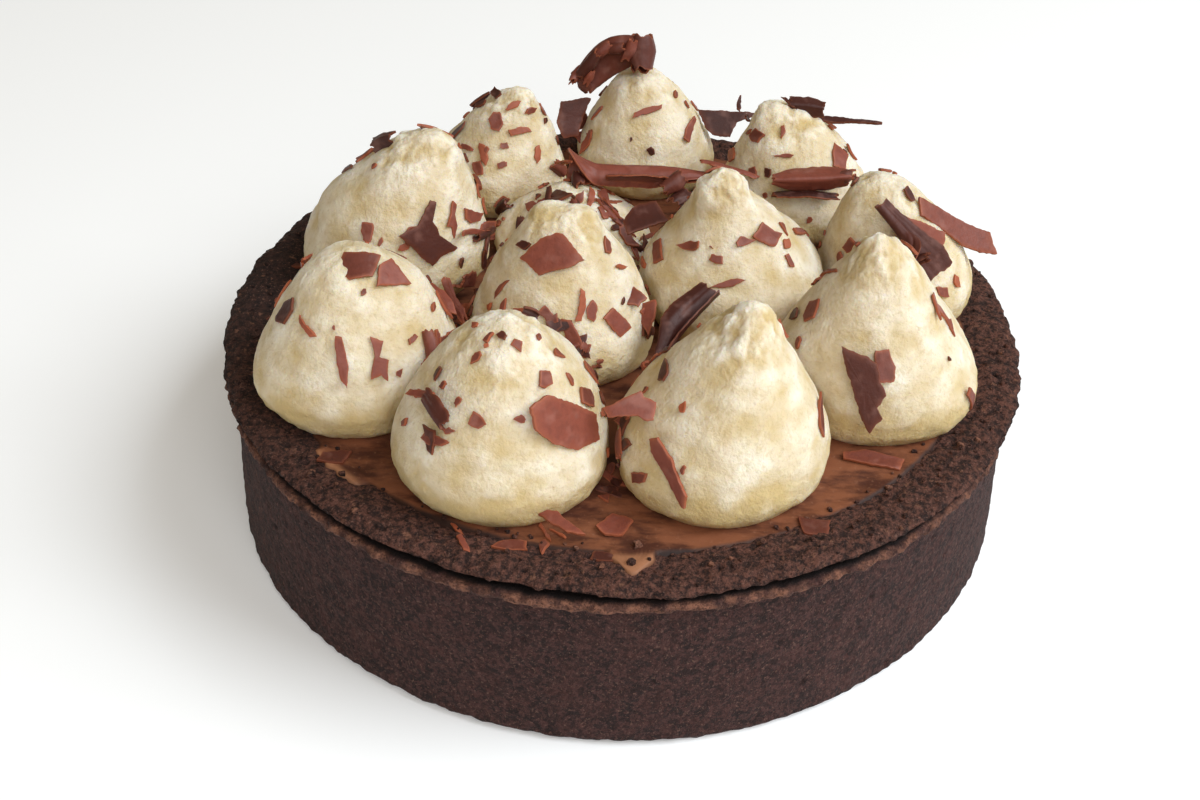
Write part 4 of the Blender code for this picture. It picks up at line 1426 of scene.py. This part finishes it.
def resting_axes(normal, spin, chance):
    """Axes of a flake that lies on a surface, turned by spin and tipped a little."""
    level = np.cross(UP, normal)
    if np.linalg.norm(level) < 0.2:
        level = np.array((1.0, 0.0, 0.0))
    level /= np.linalg.norm(level)
    slope = np.cross(normal, level)
    turn = math.radians(spin)
    along = level * math.cos(turn) + slope * math.sin(turn)
    tipped = normal + 0.16 * chance.normal() * along + 0.16 * chance.normal() * level
    return axes_from(along, tipped)


def spot_on(kiss, surface, bearing, up):
    """A place on a kiss and the way its surface faces there."""
    column = int(round(bearing / 360 * KISS_COLUMNS)) % KISS_COLUMNS
    level = KISS_SHOWN_FROM + (kiss.height + KISS_FOOT - KISS_SHOWN_FROM) * up
    row = int(np.argmin(np.abs(surface[:, column, 2] - level)))
    row = min(max(row, 2), KISS_ROWS - 3)
    column = min(max(column, 2), KISS_COLUMNS - 3)
    patch = surface[row - 2:row + 3, column - 2:column + 3]
    normal = np.cross(patch[2, 4] - patch[2, 0], patch[4, 2] - patch[0, 2])
    return surface[row, column], normal / np.linalg.norm(normal)


SHAPES = ("chip", "wedge", "leaf", "stick", "hook", "fold", "roll")


class FlakeLayer:
    """Lays small flakes one after another, and keeps milk and dark ones apart."""

    def __init__(self, surfaces, levels, tree):
        self.chance = np.random.default_rng(23)
        self.surfaces = surfaces
        self.levels = levels
        self.tree = tree
        self.pieces = {"milk_chocolate": [], "dark_chocolate": []}

    def lay(self, place, normal, spin, long, wide, tone, shape):
        """Lay one flake on a surface, a little way into it if it is cream."""
        tone = tone * SMALL_DARKER
        seed = 100.0 + sum(len(pieces) for pieces in self.pieces.values())
        vertices, faces, broken = flake(shape, long, wide, self.chance, seed)
        placed = place + vertices @ resting_axes(normal, spin, self.chance)
        if normal is not UP:
            placed = lifted(placed, normal, self.tree, 0.22)
        piece = (placed, faces, {"broken": broken, "tone": tone})
        self.pieces[chocolate_slot(tone)].append(piece)

    def lay_flat(self, x, y, spin, long, wide, tone, shape):
        """Lay one flake on the filling or the rim."""
        place = np.array((x, y, height_under(self.levels, x, y)))
        self.lay(place, UP, spin, long, wide, tone, shape)

    def any_spin(self):
        """A spin in degrees."""
        return self.chance.uniform(-90, 90)

    def any_length(self, middle, spread, shortest, longest):
        """A length in millimetres, more often short than long. Middle and spread are
        those of the length's logarithm."""
        return float(np.clip(self.chance.lognormal(middle, spread), shortest, longest))

    def any_shape(self, number):
        """One of the first so many shapes."""
        return SHAPES[int(self.chance.integers(0, number))]

    def lay_placed(self):
        """The flakes that have places of their own."""
        for kiss in KISSES:
            for bearing, up, *look in FLAKES.get(kiss.name, ()):
                place, normal = spot_on(kiss, self.surfaces[kiss.name], bearing, up)
                self.lay(place, normal, *look)
        for x, y, z, *look in LOOSE_FLAKES:
            self.lay(np.array((x, y, z)), HEAP_NORMAL, *look)
        for row in FILLING_FLAKES:
            self.lay_flat(*row)

    def drop_heaps(self):
        """Splinters that fall into the hollows between the kisses."""
        for x, y, reach_across, reach_away, number in HEAPS:
            for _ in range(number):
                self.drop(x + reach_across * self.chance.normal() / 2,
                          y + reach_away * self.chance.normal() / 2)

    def drop(self, x, y):
        """Let one splinter fall on cream, filling or rim."""
        place, normal, _, _ = self.tree.ray_cast((x, y, DROP_FROM), (0.0, 0.0, -1.0))
        if place is None:
            place, normal = np.array((x, y, height_under(self.levels, x, y))), UP
        else:
            place, normal = np.array(place), np.array(normal)
        shape = self.any_shape(6)
        long = self.any_length(1.0, 0.45, 1.2, 6.5)
        wide = min(long * 0.8, 0.7 + 1.5 * self.chance.random())
        if shape == "stick":
            wide = min(wide, 1.0)
        self.lay(place, normal, self.any_spin(), long, wide, random_tone(self.chance), shape)

    def scatter_on(self, kiss):
        """Flakes on the far side of a kiss, and specks all round it."""
        surface = self.surfaces[kiss.name]
        for _ in range(BACK_FLAKES):
            bearing, up = self.chance.uniform(12, 168), self.chance.uniform(0.25, 0.93)
            place, normal = spot_on(kiss, surface, bearing, up)
            if place[2] < KISS_SHOWN_FROM + 3.0:
                continue
            shape = self.any_shape(7)
            long = self.any_length(1.0, 0.42, 1.2, 6.0)
            wide = min(long * 0.9, 0.8 + 1.6 * self.chance.random())
            if shape in ("stick", "roll"):
                wide = min(wide, 1.1)
            self.lay(place, normal, self.any_spin(), long, wide, random_tone(self.chance), shape)
        for _ in range(SPECKS[kiss.name]):
            bearing, up = self.chance.uniform(-180, 180), self.chance.uniform(0.2, 0.97)
            place, normal = spot_on(kiss, surface, bearing, up)
            long = self.chance.uniform(0.55, 1.5)
            self.lay(place, normal, self.any_spin(), long, long * self.chance.uniform(0.4, 0.9),
                     random_tone(self.chance), self.any_shape(4))

    def scatter_ring(self):
        """Flakes on the filling and rim round the far side."""
        for _ in range(RING_FLAKES):
            bearing = self.chance.uniform(-0.35, math.pi + 0.35)
            radius = self.chance.uniform(45.5, 53.0)
            long = self.any_length(0.9, 0.45, 0.9, 6.0)
            self.lay_flat(radius * math.cos(bearing), radius * math.sin(bearing),
                          self.any_spin(), long, min(long * 0.8, 2.2),
                          random_tone(self.chance), self.any_shape(4))


def build_flakes(surfaces, levels, tree, finishes):
    """Every small flake: those with places of their own, then a scatter of others."""
    layer = FlakeLayer(surfaces, levels, tree)
    layer.lay_placed()
    layer.drop_heaps()
    for kiss in KISSES:
        layer.scatter_on(kiss)
    layer.scatter_ring()
    add_chocolate("flakes_milk", layer.pieces["milk_chocolate"], "milk_chocolate", finishes)
    add_chocolate("flakes_dark", layer.pieces["dark_chocolate"], "dark_chocolate", finishes)


def random_tone(chance):
    """Mostly red-brown, some dark and some orange."""
    pick = chance.random()
    if pick < 0.32:
        return 0.12
    if pick < 0.80:
        return 0.28 + 0.3 * chance.random()
    return 0.70 + 0.3 * chance.random()


def height_under(levels, x, y):
    """Height of the case and filling at a place, from their points."""
    away = np.hypot(levels[:, 0] - x, levels[:, 1] - y)
    near = levels[away < 0.7]
    if len(near) == 0:
        return float(levels[int(np.argmin(away)), 2])
    return float(np.percentile(near[:, 2], 85))


def build_crumbs(levels, material):
    """Crumbs of pastry on the rim and round the filling."""
    chance = np.random.default_rng(31)
    pieces = []
    base = np.array(SMALL_OUTLINES["chip"])
    for index in range(CRUMBS):
        bearing = chance.uniform(-math.pi, math.pi)
        radius = 50.6 + 8.0 * chance.random() ** 1.6
        x, y = radius * math.cos(bearing), radius * math.sin(bearing)
        size = float(np.clip(chance.lognormal(-0.80, 0.35), 0.28, 1.2))
        corners = (base + 0.12 * chance.normal(size=base.shape)) * size
        vertices, faces, _ = plate(corners, size * 0.7, 0.0, 300.0 + index, 0.25)
        vertices = vertices * (1 + 0.25 * noise(vertices + index, 0.5, 4.0))[:, None]
        place = np.array((x, y, height_under(levels, x, y) + size * 0.2))
        axes = resting_axes(UP, chance.uniform(-90, 90), chance)
        shade = chance.random()
        # Crumbs take the rim's painted shade at the left
        marks = {"rim": 1.0, "painted_shade": 0.0, "ledge": 1.0 if shade > 0.85 else 0.0,
                 "baked": float(left_rim_shade_share(np.array(bearing)))}
        pieces.append((place + vertices @ axes, faces, marks))
    vertices, faces, marks = merged(pieces)
    add_piece("crumbs", vertices, faces, material, (), marks, sharp=50)


# ---- stage, light and camera -----------------------------------------------

FLOOR_REACH = 3.0                    # metres
# Soft lights: name, place and size in metres, watts and colour
LIGHTS = (
    ("key", (1.0, -0.18, 1.04), 0.90, 20.2, (0.87, 0.94, 1.0)),
    ("front", (0.10, -0.62, 0.60), 0.60, 3.9, (0.94, 0.97, 1.0)),
)
ROOM_COLOUR = (1.0, 0.80, 0.50, 1.0)
ROOM_STRENGTH = 0.20
CAMERA_DISTANCE = 0.240              # metres from the middle of the tart
CAMERA_ELEVATION = math.radians(40.3)
CAMERA_ROLL = math.radians(1.9)
CAMERA_LENS = 43.83
CAMERA_SENSOR = 36.0
CAMERA_SHIFT = (-0.015, 0.0458)


def build_stage():
    """A plain pale floor."""
    made = Finish("pale_floor", 0.7)
    made.colour(linear(250, 250, 250))
    made.shader.inputs["Emission Color"].default_value = (1.0, 1.0, 1.0, 1.0)
    made.shader.inputs["Emission Strength"].default_value = 0.10
    mesh = bpy.data.meshes.new("floor")
    corners = [(FLOOR_REACH * x, FLOOR_REACH * y, 0)
               for x, y in ((-1, -1), (1, -1), (1, 1), (-1, 1))]
    mesh.from_pydata(corners, [], [(0, 1, 2, 3)])
    mesh.materials.append(made.material)
    floor = bpy.data.objects.new("floor", mesh)
    bpy.context.scene.collection.objects.link(floor)


def add_light(name, place, size, watts, colour):
    """A square soft light that shines on the tart."""
    data = bpy.data.lights.new(name, "AREA")
    data.size = size
    data.energy = watts
    data.color = colour
    light = bpy.data.objects.new(name, data)
    bpy.context.scene.collection.objects.link(light)
    back = np.array(place) / np.linalg.norm(place)
    side = np.cross(UP, back)
    side = side / np.linalg.norm(side)
    upward = np.cross(back, side)
    light.matrix_world = Matrix(np.column_stack((side, upward, back, place)).tolist()
                                + [(0, 0, 0, 1)])


def build_light():
    """Soft daylight from the right and the front, in a warm pale room."""
    for light in LIGHTS:
        add_light(*light)
    world = bpy.data.worlds.new("room")
    world.use_nodes = True
    background = world.node_tree.nodes["Background"]
    background.inputs["Color"].default_value = ROOM_COLOUR
    background.inputs["Strength"].default_value = ROOM_STRENGTH
    bpy.context.scene.world = world
    view = bpy.context.scene.view_settings
    view.view_transform, view.look, view.exposure = "Standard", "None", 0.0


def build_camera():
    """A camera in front of the tart that looks down on it."""
    data = bpy.data.cameras.new("camera")
    data.lens = CAMERA_LENS
    data.sensor_width = CAMERA_SENSOR
    data.clip_start = 0.01
    data.shift_x, data.shift_y = CAMERA_SHIFT
    camera = bpy.data.objects.new("camera", data)
    bpy.context.scene.collection.objects.link(camera)
    ahead = np.array((0.0, math.cos(CAMERA_ELEVATION), -math.sin(CAMERA_ELEVATION)))
    right = np.array((1.0, 0.0, 0.0))
    upward = np.cross(right, ahead)
    turned_right = right * math.cos(CAMERA_ROLL) + upward * math.sin(CAMERA_ROLL)
    turned_up = upward * math.cos(CAMERA_ROLL) - right * math.sin(CAMERA_ROLL)
    place = -ahead * CAMERA_DISTANCE
    columns = np.column_stack((turned_right, turned_up, -ahead, place))
    camera.matrix_world = Matrix(columns.tolist() + [(0, 0, 0, 1)])
    bpy.context.scene.camera = camera


rim_points, pastry = build_case()
filling_points = build_filling()
kiss_surfaces = build_kisses()
ground = np.concatenate((rim_points, filling_points))
chocolates = {
    "milk_chocolate": chocolate_finish("chocolate_milk", 0.55),
    "dark_chocolate": chocolate_finish("chocolate_dark", 0.25),
}
cream_tree = soft_ground(kiss_surfaces)
build_shards(cream_tree, chocolates)
build_shavings(chocolates)
build_flakes(kiss_surfaces, ground, cream_tree, chocolates)
build_crumbs(ground, pastry)
build_stage()
build_light()
build_camera()
